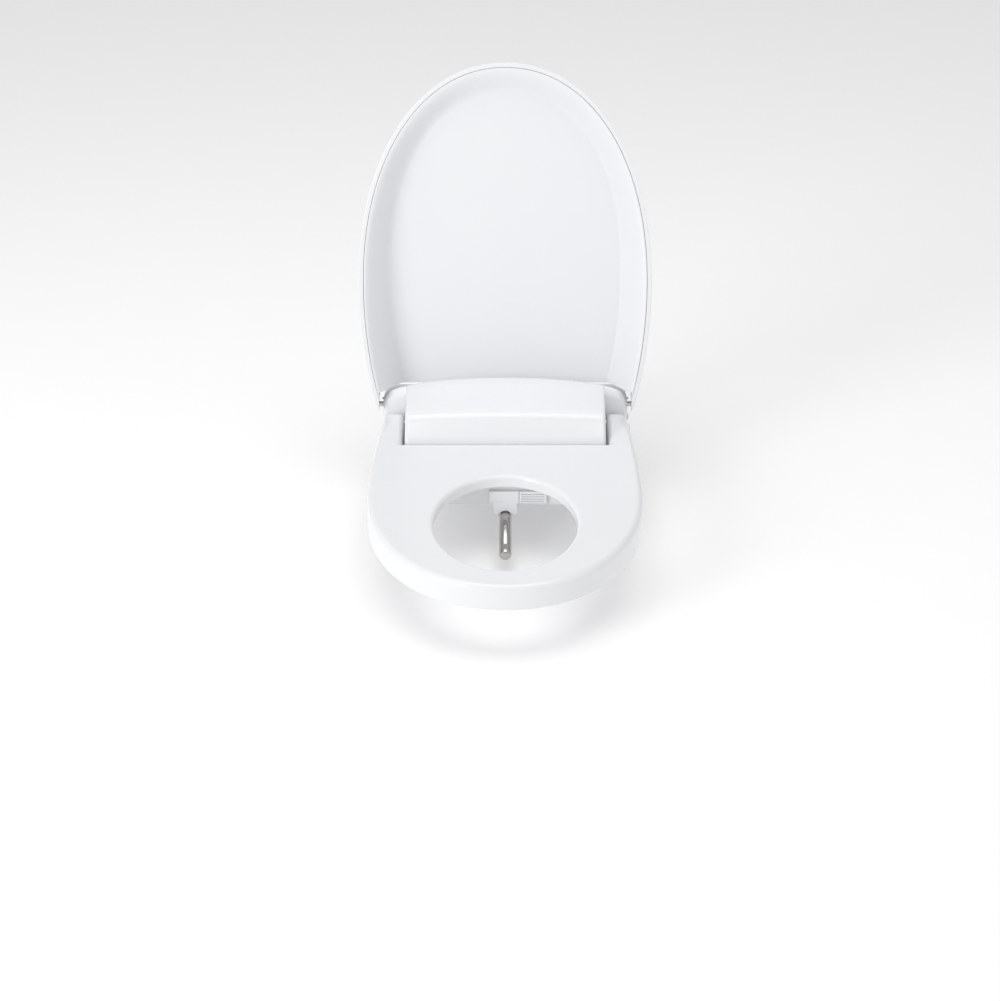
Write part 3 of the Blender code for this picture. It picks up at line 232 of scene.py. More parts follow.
class Socket:
    """A shader socket that adds Math nodes when it is used in an expression."""

    def __init__(self, tree, link):
        self.tree = tree
        self.link = link

    def node(self, kind, settings=None, **inputs):
        """Add a node of a type, set its settings first, then its sockets."""
        made = self.tree.nodes.new(kind)
        for key, value in (settings or {}).items():
            setattr(made, key, value)
        for key, value in inputs.items():
            target = made.inputs[int(key[1:])] if key[0] == "_" else made.inputs[key.replace("_", " ")]
            if isinstance(value, Socket):
                self.tree.links.new(value.link, target)
            else:
                target.default_value = value
        return made

    def out(self, made, name=0):
        return Socket(self.tree, made.outputs[name])

    def maths(self, operation, a, b=0.0):
        return self.out(self.node("ShaderNodeMath", {"operation": operation}, _0=a, _1=b))

    def __add__(self, other):
        return self.maths("ADD", self, other)

    __radd__ = __add__

    def __mul__(self, other):
        return self.maths("MULTIPLY", self, other)

    __rmul__ = __mul__

    def noise(self, scale, detail=2.0, stretch=EVEN):
        """Noise in 0..1 over the object's own coordinates, stretched along its axes."""
        place = self.node("ShaderNodeMapping", {}, Vector=self, Scale=stretch)
        made = self.node("ShaderNodeTexNoise", {}, Vector=self.out(place), Scale=scale, Detail=detail)
        return self.out(made, "Fac")

    def tint(self, factor, first, second):
        """Mix of two colours by a factor."""
        colours = {"_6": (*first, 1), "_7": (*second, 1)}
        made = self.node("ShaderNodeMix", {"data_type": "RGBA"}, _0=factor, **colours)
        return self.out(made, 2)

    def bump(self, height, strength, distance):
        made = self.node("ShaderNodeBump", {}, Height=height, Strength=strength, Distance=distance)
        return self.out(made)


def finish(name, colour, shade, rough, metallic=0.0, coat=0.0, grain=900.0, relief=2e-5, stretch=EVEN):
    """Material with a drift between two close tones, uneven roughness and fine relief.

    rough is (lowest, highest) roughness; grain is the scale of the relief; stretch turns the
    relief into brushed lines; relief is its height in metres.
    """
    material = bpy.data.materials.new(name)
    material.use_nodes = True
    tree = material.node_tree
    shader = tree.nodes["Principled BSDF"]
    where = Socket(tree, tree.nodes.new("ShaderNodeTexCoord").outputs["Object"])
    cloud = where.noise(14.0, 3.0)
    fine = where.noise(grain, 2.0, stretch)
    base = where.tint(cloud, colour, shade)
    tree.links.new(base.link, shader.inputs["Base Color"])
    low, high = rough
    uneven = low + (cloud * 0.6 + fine * 0.4) * (high - low)
    tree.links.new(uneven.link, shader.inputs["Roughness"])
    shader.inputs["Metallic"].default_value = metallic
    shader.inputs["Coat Weight"].default_value = coat
    shader.inputs["Coat Roughness"].default_value = 0.06
    tree.links.new(where.bump(fine, 0.5, relief).link, shader.inputs["Normal"])
    return material


print("socket class ready")

# %% [markdown]
# ## Finishes
# The outside is glossy white thermoplastic with a slightly cool tone, and the lower casing is
# the same plastic from a satin mould. A flat colour would look like paper, so each finish drifts
# between two close tones, its roughness wanders a little, and a fine relief breaks up its
# reflections. The wash tube is polished steel, and its drawing lines run along the tube.

# %% Materials
GLOSS_WHITE = finish(
    "gloss_white", (0.83, 0.84, 0.86), (0.85, 0.855, 0.87), (0.16, 0.24),
    coat=0.35, grain=420.0,
)
INNER_WHITE = finish(
    "lid_inner_white", (0.82, 0.83, 0.85), (0.845, 0.85, 0.865), (0.3, 0.42),
    coat=0.2, grain=500.0,
)
SATIN_WHITE = finish(
    "satin_white", (0.76, 0.77, 0.78), (0.79, 0.795, 0.8), (0.32, 0.45),
    grain=1600.0, relief=3e-5,
)
GREY_PLASTIC = finish(
    "grey_plastic", (0.42, 0.43, 0.45), (0.47, 0.48, 0.49), (0.45, 0.6),
    grain=2200.0, relief=4e-5,
)
DARK_PLASTIC = finish(
    "dark_plastic", (0.05, 0.052, 0.056), (0.07, 0.072, 0.076), (0.4, 0.55),
    grain=2200.0, relief=4e-5,
)
CREAM_PLASTIC = finish(
    "cream_plastic", (0.72, 0.7, 0.64), (0.76, 0.74, 0.69), (0.35, 0.5),
    grain=1500.0, relief=3e-5,
)
RUBBER = finish(
    "grey_rubber", (0.30, 0.31, 0.32), (0.35, 0.36, 0.37), (0.7, 0.85),
    grain=2600.0, relief=6e-5,
)
BLACK_RUBBER = finish(
    "black_rubber", (0.02, 0.02, 0.021), (0.035, 0.035, 0.036), (0.65, 0.8),
    grain=2600.0, relief=6e-5,
)
STEEL = finish(
    "bright_steel", (0.62, 0.62, 0.63), (0.68, 0.68, 0.69), (0.2, 0.36),
    metallic=1.0, grain=700.0, stretch=(1, 1, 12),
)
POLISHED = finish(
    "polished_tube", (0.46, 0.445, 0.43), (0.52, 0.505, 0.49), (0.05, 0.1),
    metallic=1.0, grain=900.0, relief=8e-6, stretch=(9, 1, 2),
)
BOARD = finish(
    "board_green", (0.02, 0.14, 0.06), (0.03, 0.18, 0.08), (0.3, 0.45),
    grain=1800.0, relief=4e-5, stretch=(1, 6, 1),
)
FOIL = finish(
    "heating_foil", (0.55, 0.56, 0.57), (0.62, 0.63, 0.64), (0.3, 0.5),
    metallic=0.9, grain=300.0, relief=1e-4,
)
print("finishes:", len(bpy.data.materials))


def wear(piece, material):
    """Give a piece its finish."""
    piece.data.materials.clear()
    piece.data.materials.append(material)
    for face in piece.data.polygons:
        face.material_index = 0


# %% [markdown]
# ## The lid
# The lid is a shallow dish moulded in two skins: a domed cover outside and a smooth liner
# inside, which meet at a narrow lip. Seen square on, its outline is a superellipse towards the
# tip that narrows again towards the hinge. Every point of a skin is given by its place along
# the outline and its distance inwards from it; the height is a function of that distance. The
# lid is worked out shut, about its hinge axis, and then turned open.

# %% Lid outline
LID_AXIS = (10 * MM, 58 * MM)
LID_OPEN = math.radians(100.5)
LID_HALF = 195 * MM
LID_WIDEST = 163 * MM
LID_TIP = 461 * MM
LID_POWER = 2.11
LID_TAPER = 0.78
LID_RIM = -19 * MM
EAR_INNER = 171 * MM


def lid_outline(straight=40, round_=110):
    """Half outline as (x, s) points with the spine point each one faces.

    Below the widest station x = half - taper (widest - s)^2; beyond it the outline is the
    superellipse |x/half|^p + |(s - widest)/(tip - widest)|^p = 1, walked by an even angle.
    """
    s = np.linspace(-13 * MM, LID_WIDEST, straight, endpoint=False)
    edge = np.column_stack([LID_HALF - LID_TAPER * (LID_WIDEST - s) ** 2, s])
    spine = np.column_stack([np.zeros(straight), s])
    angle = np.linspace(0, np.pi / 2, round_)
    t = np.sin(angle) ** (2 / LID_POWER)
    x = LID_HALF * np.clip(1 - t**LID_POWER, 0, 1) ** (1 / LID_POWER)
    arc = np.column_stack([x, LID_WIDEST + (LID_TIP - LID_WIDEST) * t])
    arc_spine = np.tile([0, LID_WIDEST], (round_, 1))
    return np.concatenate([edge, arc]), np.concatenate([spine, arc_spine])


def lid_skin(insets, height):
    """Grid of points across the lid, from the left hinge round the tip to the right hinge.

    A point lies the given distance inwards from the outline towards its spine point, at
    LID_RIM + height(distance, s). The last column is the spine itself.
    """
    edge, spine = lid_outline()
    reach = np.linalg.norm(edge - spine, axis=1, keepdims=True)
    inward = np.asarray(insets, float)[None, :]
    inward = np.concatenate([np.repeat(inward, len(edge), axis=0), reach], axis=1)
    part = np.minimum(inward / reach, 1)[..., None]
    flat = edge[:, None] + (spine - edge)[:, None] * part
    x, s = flat[..., 0], flat[..., 1]
    half = np.stack([x, -s, LID_RIM + height(np.minimum(inward, reach), s)], axis=-1)
    left = half * np.array([-1, 1, 1])
    return np.concatenate([left, half[-2::-1]])


def opened(points):
    """Turn points from the shut lid to the open one and carry them to the hinge axis."""
    c, n = math.cos(-LID_OPEN), math.sin(-LID_OPEN)
    x, y, z = np.moveaxis(np.asarray(points), -1, 0)
    return np.stack([x, y * c - z * n + LID_AXIS[0], y * n + z * c + LID_AXIS[1]], axis=-1)


def lid_depth(s):
    """Depth of the floor behind the rim: 53 mm near the hinge, 20 mm near the tip, straight between."""
    return (53 - 33 * (s / MM - 21) / 395) * MM


def smooth(t):
    t = np.clip(t, 0, 1)
    return t * t * (3 - 2 * t)


def dome(d, rise, run):
    """Quarter ellipse that rises steeply at the edge and runs out flat."""
    t = np.clip(d / run, 0, 1)
    return rise * np.sqrt(1 - (1 - t) ** 2)


print("lid outline points:", len(lid_outline()[0]))

# %% [markdown]
# The foot of the lid turns round the housing's ridge and must clear it at every angle. Seen from
# the lid, the ridge sweeps out a barrel about the hinge axis, so the lid is cut with that barrel.
# The ears on both sides are rounded about their pins for the same reason.

# %% Lid cutters
def ridge_height(x):
    """Height of the housing's ridge across the width."""
    return (61 + 33 * (1 - np.minimum(np.abs(x) / (168 * MM), 1) ** 2) ** 0.42) * MM


def hinge_barrel():
    """Body swept by the housing's ridge about the lid's axis: a turned loft with a varying radius."""
    x = EAR_INNER * np.sin(np.linspace(-np.pi / 2, np.pi / 2, 41))
    radius = np.hypot(5 * MM, ridge_height(x) - LID_AXIS[1]) + 3.4 * MM
    angle = np.linspace(0, 2 * np.pi, 72, endpoint=False)
    loops = np.stack(
        [
            np.repeat(x[:, None], 72, axis=1),
            radius[:, None] * np.cos(angle) + LID_AXIS[0],
            radius[:, None] * np.sin(angle) + LID_AXIS[1],
        ],
        axis=-1,
    )
    return closed_loft("cutter", loops)


def shut_block(low, high):
    """Box given in the shut lid's own axes, opened with the lid."""
    (x0, y0, z0), (x1, y1, z1) = low, high
    square = [(x0, y0), (x1, y0), (x1, y1), (x0, y1)]
    loops = [[(x, y, z) for x, y in square] for z in (z0, z1)]
    return closed_loft("cutter", opened(loops))


def ear_cutter(side):
    """Everything behind the hinge outside an 11 mm disc about the axis, so the ears end round."""
    angle = np.linspace(-np.pi / 2, np.pi / 2, 25)
    arc = np.column_stack([11 * MM * np.cos(angle), 11 * MM * np.sin(angle)])
    far = np.array([(0, 70), (40, 70), (40, -40), (0, -40)]) * MM
    outline = np.concatenate([far, arc])
    span = (side * 160 * MM, side * 220 * MM)
    loops = [np.column_stack([np.full(len(outline), x), outline]) for x in span]
    return closed_loft("cutter", opened(loops))


def trimmed_lid(obj):
    trim(obj, shut_block((-EAR_INNER, -21 * MM, -60 * MM), (EAR_INNER, 60 * MM, 80 * MM)))
    trim(obj, hinge_barrel())
    for side in (-1, 1):
        trim(obj, ear_cutter(side))
    return obj


# %% [markdown]
# The outer moulding could be a thickened sheet, but its lip is flat while its back is domed, so
# two grids are worked out instead and joined round their border. The steps are close together
# at the edge, where the surface bends most.

# %% Lid cover
FLOOR_STEPS = [60, 90]
COVER_EDGE = [0, 0.15, 0.4, 0.8, 1.4, 2.2, 3.2, 4.5]
LIP_EDGE = [0, 0.3, 0.6, 1, 3, 5, 5.3, 5.6, 5.85]
cover_insets = np.concatenate([COVER_EDGE, np.linspace(6, 40, 18), FLOOR_STEPS]) * MM
lip_insets = np.concatenate([LIP_EDGE, np.linspace(6, 40, 17), FLOOR_STEPS]) * MM


def lip_round(d):
    """Rounding of the lip's two edges: 0.3 mm deep, falling off as a square within 0.9 mm."""
    outer = np.clip(1 - d / (0.9 * MM), 0, 1) ** 2
    inner = np.clip(1 - (6 * MM - d) / (0.9 * MM), 0, 1) ** 2
    return 0.3 * MM * (outer + inner)


def cover_outside(d, s):
    """Domed back of the lid, 6 mm deeper than the floor inside; its edge meets the rounded lip."""
    return dome(d, lid_depth(s) + 6 * MM, 40 * MM) + 0.3 * MM * (d < 0.1 * MM)


def cover_inside(d, s):
    """Flat lip up to 6 mm in, then a skin 2.8 mm inside the dome."""
    skin = dome(d - 2.6 * MM, lid_depth(s) + 3.2 * MM, 37.4 * MM)
    return np.where(d < 5.9 * MM, lip_round(d), skin)


outside = opened(lid_skin(cover_insets, cover_outside))
inside = opened(lid_skin(lip_insets, cover_inside))
lid_shell = creased(trimmed_lid(shell_between("lid_shell", outside, inside)))
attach(lid_shell, "lid")
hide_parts("lid_cover")
wear(lid_shell, GLOSS_WHITE)
print("lid shell faces:", len(lid_shell.data.polygons))

# %% [markdown]
# The liner is a second moulding that clips in behind the lip. It starts level with the lip,
# across a hairline seam, and runs down to the floor in one soft curve, so it catches the light
# on one side of the dish and turns dark on the other.

# %% Lid liner
LINER_START = 6.4 * MM
LINER_RUN = 35.6 * MM
LINER_SKIN = 2.4 * MM
LINER_EDGE = [6.4, 6.6, 6.9, 7.3, 8.0]
LINER_FLOOR = [60, 80, 100, 130]
liner_insets = np.concatenate([LINER_EDGE, np.linspace(9.5, 42, 24), LINER_FLOOR]) * MM


def liner_face(d, s):
    """Depth times a smooth step over the wall's run, with a 0.3 mm rounding at its first edge."""
    edge = np.clip(1 - (d - LINER_START) / (0.9 * MM), 0, 1) ** 2
    return lid_depth(s) * smooth((d - LINER_START) / LINER_RUN) + 0.3 * MM * edge


def liner_back(d, s):
    return lid_depth(s) * smooth((d - LINER_START) / LINER_RUN) + LINER_SKIN


front = opened(lid_skin(liner_insets, liner_face))
back = opened(lid_skin(liner_insets, liner_back))
lid_dish = creased(trimmed_lid(shell_between("lid_dish", back, front)))
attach(lid_dish, "lid")
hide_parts("lid_liner")
wear(lid_dish, INNER_WHITE)
print("lid dish faces:", len(lid_dish.data.polygons))

# %% [markdown]
# ## The seat
# The seat is a thin-walled ring that runs back into two arms, one on each side of the housing.
# Its top is one flat plane that slopes gently to the front; the outer edge rolls over in a
# generous radius and the edge of the opening in a tighter one. The walls are loops of the
# outline moved inwards and upwards along a quarter circle.

# %% Seat outline
SEAT_AXIS = (-12 * MM, 40 * MM)
SEAT_REAR = -0.4 * MM
SEAT_HALF = 176 * MM
SEAT_WIDEST = -215 * MM
SEAT_TIP = -448 * MM
SEAT_POWER = 2.1
SLOT_EDGE = 136.1 * MM
SEAT_FOOT = 8 * MM
SEAT_WALL = 3 * MM
CORNER = 18 * MM


def seat_half(y):
    """Half width: half - 0.235 (y - widest)^2 behind the widest line, a superellipse in front of it."""
    rear = SEAT_HALF - 0.235 * (y - SEAT_WIDEST) ** 2
    t = np.clip((SEAT_WIDEST - y) / (SEAT_WIDEST - SEAT_TIP), 0, 1)
    return np.where(y > SEAT_WIDEST, rear, SEAT_HALF * (1 - t**SEAT_POWER) ** (1 / SEAT_POWER))


def seat_outline():
    """Outline counter-clockwise from above: slot, arm corner, side, superellipse front, mirrored."""
    slot = np.column_stack([np.full(10, SLOT_EDGE), np.linspace(-90 * MM, SEAT_REAR, 10)])
    centre = seat_half(SEAT_REAR - CORNER) - CORNER
    angle = np.linspace(np.pi / 2, 0, 14)
    corner = np.column_stack([centre + CORNER * np.cos(angle), SEAT_REAR - CORNER * (1 - np.sin(angle))])
    y = np.linspace(SEAT_REAR - CORNER, SEAT_WIDEST, 26)[1:]
    side = np.column_stack([seat_half(y), y])
    angle = np.linspace(0, np.pi / 2, 72, endpoint=False)[1:]
    y = SEAT_WIDEST + (SEAT_TIP - SEAT_WIDEST) * np.sin(angle) ** (2 / SEAT_POWER)
    front = np.column_stack([seat_half(y), y])
    right = np.concatenate([slot, corner, side, front])
    return np.concatenate([right * [-1, 1], [(0, SEAT_TIP)], right[::-1]])


def moved_in(loop, distance):
    """Closed outline moved inwards along its corner bisectors."""
    ahead = np.roll(loop, -1, axis=0) - loop
    ahead /= np.linalg.norm(ahead, axis=1, keepdims=True)
    normal = np.column_stack([-ahead[:, 1], ahead[:, 0]])
    before = np.roll(normal, 1, axis=0)
    middle = normal + before
    middle /= np.linalg.norm(middle, axis=1, keepdims=True)
    reach = np.maximum((middle * normal).sum(axis=1, keepdims=True), 0.5)
    return loop + middle * distance / reach


def opening(grow=0.0, count=144):
    """Elliptical outline of the opening, grown by a distance."""
    angle = np.linspace(0, 2 * np.pi, count, endpoint=False)
    wide, long_ = 89.8 * MM + grow, 113.8 * MM + grow
    return np.column_stack([wide * np.sin(angle), -294.7 * MM + long_ * np.cos(angle)])


def seat_plane(y):
    """Height of the seat's top, from 51.5 mm over the hinge straight down to 40 mm at the tip."""
    return 51.5 * MM - 11.5 * MM * (y - SEAT_AXIS[0]) / (SEAT_TIP - SEAT_AXIS[0])


def edge_drop(y, edge):
    """Height of the rounding, 6 mm more on the arms."""
    return edge + 6 * MM * smooth((y + 170 * MM) / (110 * MM))


def rolled(loop, run, steps=11):
    """Loops up a wall and over a quarter-ellipse edge, with one more loop on the flat."""
    base = loop[:, 1]
    drop = edge_drop(base, run)
    loops = [np.column_stack([loop, np.full(len(loop), SEAT_FOOT)])]
    for angle in np.linspace(0, np.pi / 2, steps):
        flat = moved_in(loop, run * (1 - np.cos(angle)))
        loops.append(np.column_stack([flat, seat_plane(flat[:, 1]) - drop * (1 - np.sin(angle))]))
    flat = moved_in(loop, run + 1.2 * MM)
    loops.append(np.column_stack([flat, seat_plane(flat[:, 1])]))
    return np.array(loops)


print("seat outline points:", len(seat_outline()))

# %% [markdown]
# The seat is hollow, as the real moulding is. A single closed skin runs up the outside, over the
# top, down the opening and back along the inside of the hollow. The flat faces have odd outlines,
# so Blender fills them between two loops. Then the room for the nozzle bay is cut away from
# below, and the arms are rounded about the hinge.

# %% Seat shell
def hollow_wall(loop):
    """Wall of the hollow: a loop at the foot and the same loop at the ceiling."""
    ceiling = seat_plane(loop[:, 1]) - edge_drop(loop[:, 1], 6.2 * MM)
    foot = np.column_stack([loop, np.full(len(loop), SEAT_FOOT)])
    return np.array([foot, np.column_stack([loop, ceiling])])


def ring_edges(mesh, start, count):
    """Edges of a closed loop of vertices that are numbered in a row."""
    verts = mesh.verts[start : start + count]
    return [mesh.edges.get((a, b)) for a, b in zip(verts, verts[1:] + verts[:1])]


def seat_ring(name):
    """One closed skin: outer wall, flat top, opening wall, and the hollow's walls and ceiling.

    The four walls are grids of loops. Each pair of walls is joined by a strip at the foot, and
    the flat top and the ceiling are filled between their upper loops.
    """
    outline, hole = seat_outline(), opening()
    outside, round_hole = rolled(outline, 8 * MM), rolled(hole, 5 * MM)
    inside, behind_hole = hollow_wall(moved_in(outline, SEAT_WALL)), hollow_wall(opening(SEAT_WALL))
    walls = [outside, round_hole, inside, behind_hole]
    starts = np.cumsum([0] + [wall.shape[0] * wall.shape[1] for wall in walls])
    faces = [quads(*wall.shape[:2], start, wrap=True) for wall, start in zip(walls, starts)]
    for first, second in ((0, 2), (1, 3)):
        near = np.arange(walls[first].shape[1])
        far = np.roll(near, -1)
        a, b = starts[first], starts[second]
        faces.append(np.stack([a + near, a + far, b + far, b + near], -1))
    made = bpy.data.meshes.new(name)
    points = np.concatenate([wall.reshape(-1, 3) for wall in walls])
    made.from_pydata(points.tolist(), [], np.concatenate(faces).tolist())
    mesh = bmesh.new()
    mesh.from_mesh(made)
    mesh.verts.ensure_lookup_table()
    tops = []
    for wall, start in zip(walls, starts):
        levels, count = wall.shape[:2]
        tops.append((start + (levels - 1) * count, count))
    for first, second in ((0, 1), (2, 3)):
        edges = ring_edges(mesh, *tops[first]) + ring_edges(mesh, *tops[second])
        bmesh.ops.triangle_fill(mesh, edges=edges, use_beauty=True, use_dissolve=False)
        mesh.verts.ensure_lookup_table()
    bmesh.ops.recalc_face_normals(mesh, faces=mesh.faces)
    mesh.to_mesh(made)
    mesh.free()
    obj = bpy.data.objects.new(name, made)
    bpy.context.collection.objects.link(obj)
    return obj


def knuckle_cutter(side):
    """Everything behind the seat's axis outside an 11.6 mm half disc, so the arms end round."""
    y, z = SEAT_AXIS
    angle = np.linspace(-np.pi / 2, np.pi / 2, 25)
    arc = np.column_stack([y + 11.6 * MM * np.cos(angle), z + 11.6 * MM * np.sin(angle)])
    far = np.array([(y, 70 * MM), (30 * MM, 70 * MM), (30 * MM, 0), (y, 0)])
    outline = np.concatenate([far, arc])
    span = (side * 131 * MM, side * 190 * MM)
    loops = [np.column_stack([np.full(len(outline), x), outline]) for x in span]
    return closed_loft("cutter", loops)


seat_skin = seat_ring("seat_skin")
trim(seat_skin, block((-122 * MM, -304 * MM, 0), (122 * MM, 30 * MM, 32.2 * MM)))
for side in (-1, 1):
    trim(seat_skin, knuckle_cutter(side))
creased(seat_skin)
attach(seat_skin, "seat")
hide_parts("seat_top")
wear(seat_skin, GLOSS_WHITE)
print("seat skin faces:", len(seat_skin.data.polygons))

# %% [markdown]
# ## The housing
# Between the seat's arms the casing comes forward as a broad tongue with a soft crest; behind it
# a ridge arches across the whole width. Each cross section is a polyline of a few corners whose
# heights depend on the place across the width; the corners are rounded by short curves and the
# sections are joined side by side. Towards a side face the section shrinks along a quarter
# circle, which rounds the side edges.

# %% Housing sections
TONGUE_HALF = 133.5 * MM
BODY_HALF = 166 * MM
FOOT = 26.4 * MM
WALL = 2.6 * MM


def behind_ridge(x):
    """Corners from the ridge to the rear foot, at an even distance from the lid's axis first."""
    rise = ridge_height(x) - LID_AXIS[1]
    radius = np.hypot(5 * MM, rise)
    full = np.ones_like(x)
    corners = [np.column_stack([15 * MM * full, LID_AXIS[1] + rise])]
    for degrees in (62, 42, 24):
        angle = math.radians(degrees)
        y = np.maximum(LID_AXIS[0] + radius * math.cos(angle), (15 + (75 - degrees) * 0.2) * MM)
        z = np.maximum(LID_AXIS[1] + radius * math.sin(angle), 64 * MM)
        corners.append(np.column_stack([y, np.minimum(z, LID_AXIS[1] + rise)]))
    for y, z in ((48, 64), (62, 63.5), (66, 59), (66, FOOT / MM)):
        corners.append(np.column_stack([y * MM * full, z * MM * full]))
    return corners


def tongue_sections(x):
    """Front wall, crest and ridge at each station across the tongue."""
    full = np.ones_like(x)
    drop = (94 * MM - ridge_height(x)) * 0.35
    wall = [(-88, FOOT / MM, 0), (-88, 47, 0), (-85.5, 53, 0)]
    front = wall + [(-69, 72, 1), (-63, 78.4, 1), (-55, 81.4, 1)]
    corners = [np.column_stack([y * MM * full, z * MM - drop * k]) for y, z, k in front]
    return np.stack(corners + behind_ridge(x), axis=1)


def shoulder_sections(x):
    """Upright front face of a hinge shoulder, then the ridge."""
    full = np.ones_like(x)
    top = ridge_height(x)
    below, above = np.maximum(top - 9.5 * MM, 55 * MM), np.maximum(top - 6.5 * MM, 57 * MM)
    heights = [FOOT * full, 52 * MM * full, below, above]
    front = [np.column_stack([y * MM * full, z]) for y, z in zip((2.5, 2.5, 5, 7), heights)]
    return np.stack(front + behind_ridge(x), axis=1)


def drawn_in(sections, distance):
    """Each section moved inwards by its own distance along its normals; the foot stays level."""
    along = np.gradient(sections, axis=1)
    along /= np.linalg.norm(along, axis=-1, keepdims=True) + 1e-12
    inward = np.stack([along[..., 1], -along[..., 0]], axis=-1)
    reach = np.broadcast_to(np.reshape(distance, (len(sections), -1)), along.shape[:2])
    moved = sections + inward * reach[..., None]
    moved[:, 0, 1] = moved[:, -1, 1] = FOOT
    return moved


def edge_pull(x, half, radius):
    """radius - sqrt(radius^2 - u^2) for a station u beyond half - radius: a quarter-circle edge."""
    u = np.clip(np.abs(x) - (half - radius), 0, radius)
    return radius - np.sqrt(np.maximum(radius**2 - u**2, 0))


def casing(name, x, sections, pull):
    """Thin shell through the sections, closed at both side faces and open below.

    Each section is drawn in by its pull (one value, or one per corner). The wall grows inwards
    from the outer surface, so the surface is flipped first if its highest face points down.
    """
    flat = drawn_in(sections, pull)
    points = np.concatenate([np.broadcast_to(x[:, None, None], (*flat.shape[:2], 1)), flat], axis=-1)
    rows, columns = flat.shape[:2]
    faces = [tuple(f) for f in quads(rows, columns)]
    faces.append(tuple(range(columns)))
    faces.append(tuple(range((rows - 1) * columns, rows * columns)))
    obj = piece_from(name, points, faces)
    highest = max(obj.data.polygons, key=lambda face: face.center.z)
    if highest.normal.z < 0:
        obj.data.flip_normals()
    wall = obj.modifiers.new("wall", "SOLIDIFY")
    wall.thickness = WALL
    wall.offset = -1
    return obj


tongue_radii = np.array([3, 3, 8, 4, 5, 14, 6, 6, 6, 6, 4, 4]) * MM
angle = np.linspace(-np.pi / 2, np.pi / 2, 81)
edge_x = TONGUE_HALF * np.concatenate([[-1], np.sin(angle)[1:-1], [1]])
rim_x = (TONGUE_HALF - 4.5 * MM) + 4.5 * MM * np.sin(np.linspace(0, np.pi / 2, 12))
x = np.unique(np.concatenate([edge_x[np.abs(edge_x) < TONGUE_HALF - 6 * MM], rim_x, -rim_x]).round(7))
print("stations across the tongue:", len(x), "corners per section:", tongue_sections(x).shape[1])

# %% [markdown]
# The edges of the tongue's front are rounded fully, but its top runs on level into the
# shoulders, so the rounding fades out towards the ridge.

# %% Housing shell
outer = soft_corners(tongue_sections(x), tongue_radii[: tongue_sections(x).shape[1] - 2])
forward = smooth((-outer[..., 0] - 12 * MM) / (42 * MM))
front_pull = edge_pull(x, TONGUE_HALF, 4.5 * MM)[:, None] * np.maximum(forward, 0.04)
housing = casing("housing", x, outer, front_pull)
creased(housing, 40)
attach(housing, "main_unit")
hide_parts("top_cover")
wear(housing, GLOSS_WHITE)
print("housing faces:", len(housing.data.polygons))

# %% [markdown]
# A shoulder at each end carries the lid's pin. Its front stands back level with the hinge, which
# leaves room for the seat's arm, and its outer edge is rounded like the tongue's.

# %% Shoulders
shoulder_radii = np.array([3, 4, 4, 6, 5, 5, 5, 4, 4, 4]) * MM
inner_edge = 133.9 * MM
near = inner_edge + 1.5 * MM * (1 - np.cos(np.linspace(0, np.pi / 2, 6)))
far = BODY_HALF - 5 * MM + 5 * MM * np.sin(np.linspace(0, np.pi / 2, 12))
across = np.concatenate([near, np.linspace(inner_edge + 3 * MM, BODY_HALF - 6 * MM, 14), far])
for side, label in ((-1, "left"), (1, "right")):
    sections = shoulder_sections(across)
    shaped = soft_corners(sections, shoulder_radii[: sections.shape[1] - 2])
    pull = edge_pull(across, BODY_HALF, 5 * MM)
    shoulder = creased(casing(f"shoulder_{label}", side * across, shaped, pull), 40)
    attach(shoulder, "main_unit")
    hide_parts(f"hinge_block_{label}")
    wear(shoulder, GLOSS_WHITE)
    print(shoulder.name, "faces:", len(shoulder.data.polygons))

# %% [markdown]
# ## Nozzle
# The wash tube slides out of the bay at 20 degrees below level. It is a polished steel tube with
# a separate tip of the same metal, and a fine dark gap between them. Both are solids of
# revolution, so a few pairs of radius and distance along the axis describe them fully.

# %% Nozzle pieces
NOZZLE_TURN = math.radians(20)
NOZZLE_DIRECTION = np.array([0, -math.cos(NOZZLE_TURN), -math.sin(NOZZLE_TURN)])
NOZZLE_EXIT = np.array([0, -176, -18.5]) * MM
tube_tail = [(0.2, -35), (7.2, -35), (8, -34.4), (8, 0)]
tube_end = [(8, 47), (7.6, 48.6), (7.6, 49)]
tube_profile = np.array(tube_tail + tube_end) * MM
tube = creased(turned("wash_tube", tube_profile, NOZZLE_EXIT, NOZZLE_DIRECTION, 72))
tip_ring = [(7.5, 49), (7.9, 49.4), (8, 50.2)]
tip_end = [(8, 61), (7.7, 62.6), (6.8, 64), (5, 65), (0.2, 65)]
tip_profile = np.array(tip_ring + tip_end) * MM
tip = creased(turned("wash_tip", tip_profile, NOZZLE_EXIT, NOZZLE_DIRECTION, 72))
for piece, node in ((tube, "nozzle_tube"), (tip, "nozzle_tip")):
    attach(piece, "nozzle")
    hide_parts(node)
    wear(piece, POLISHED)
    low, high = node_box(node)
    print(piece.name, "stands for", node, "from", np.round(low / MM, 1), "to", np.round(high / MM, 1))

# %% [markdown]
# Over the tube's exit hangs a small gate: a bar with a tab below it and an arch cut for the
# tube. Beside it sits the flap of the warm-air outlet with fine louvres. Both are flat
# outlines carried through their thickness, with every edge rolled over by half a millimetre.

# %% Gate and flap
GATE_FRONT = -174.6 * MM
GATE_BACK = -170.6 * MM
ARCH_Z = -17.26
ARCH_HALF = 9.6
ARCH_RISE = 10.2


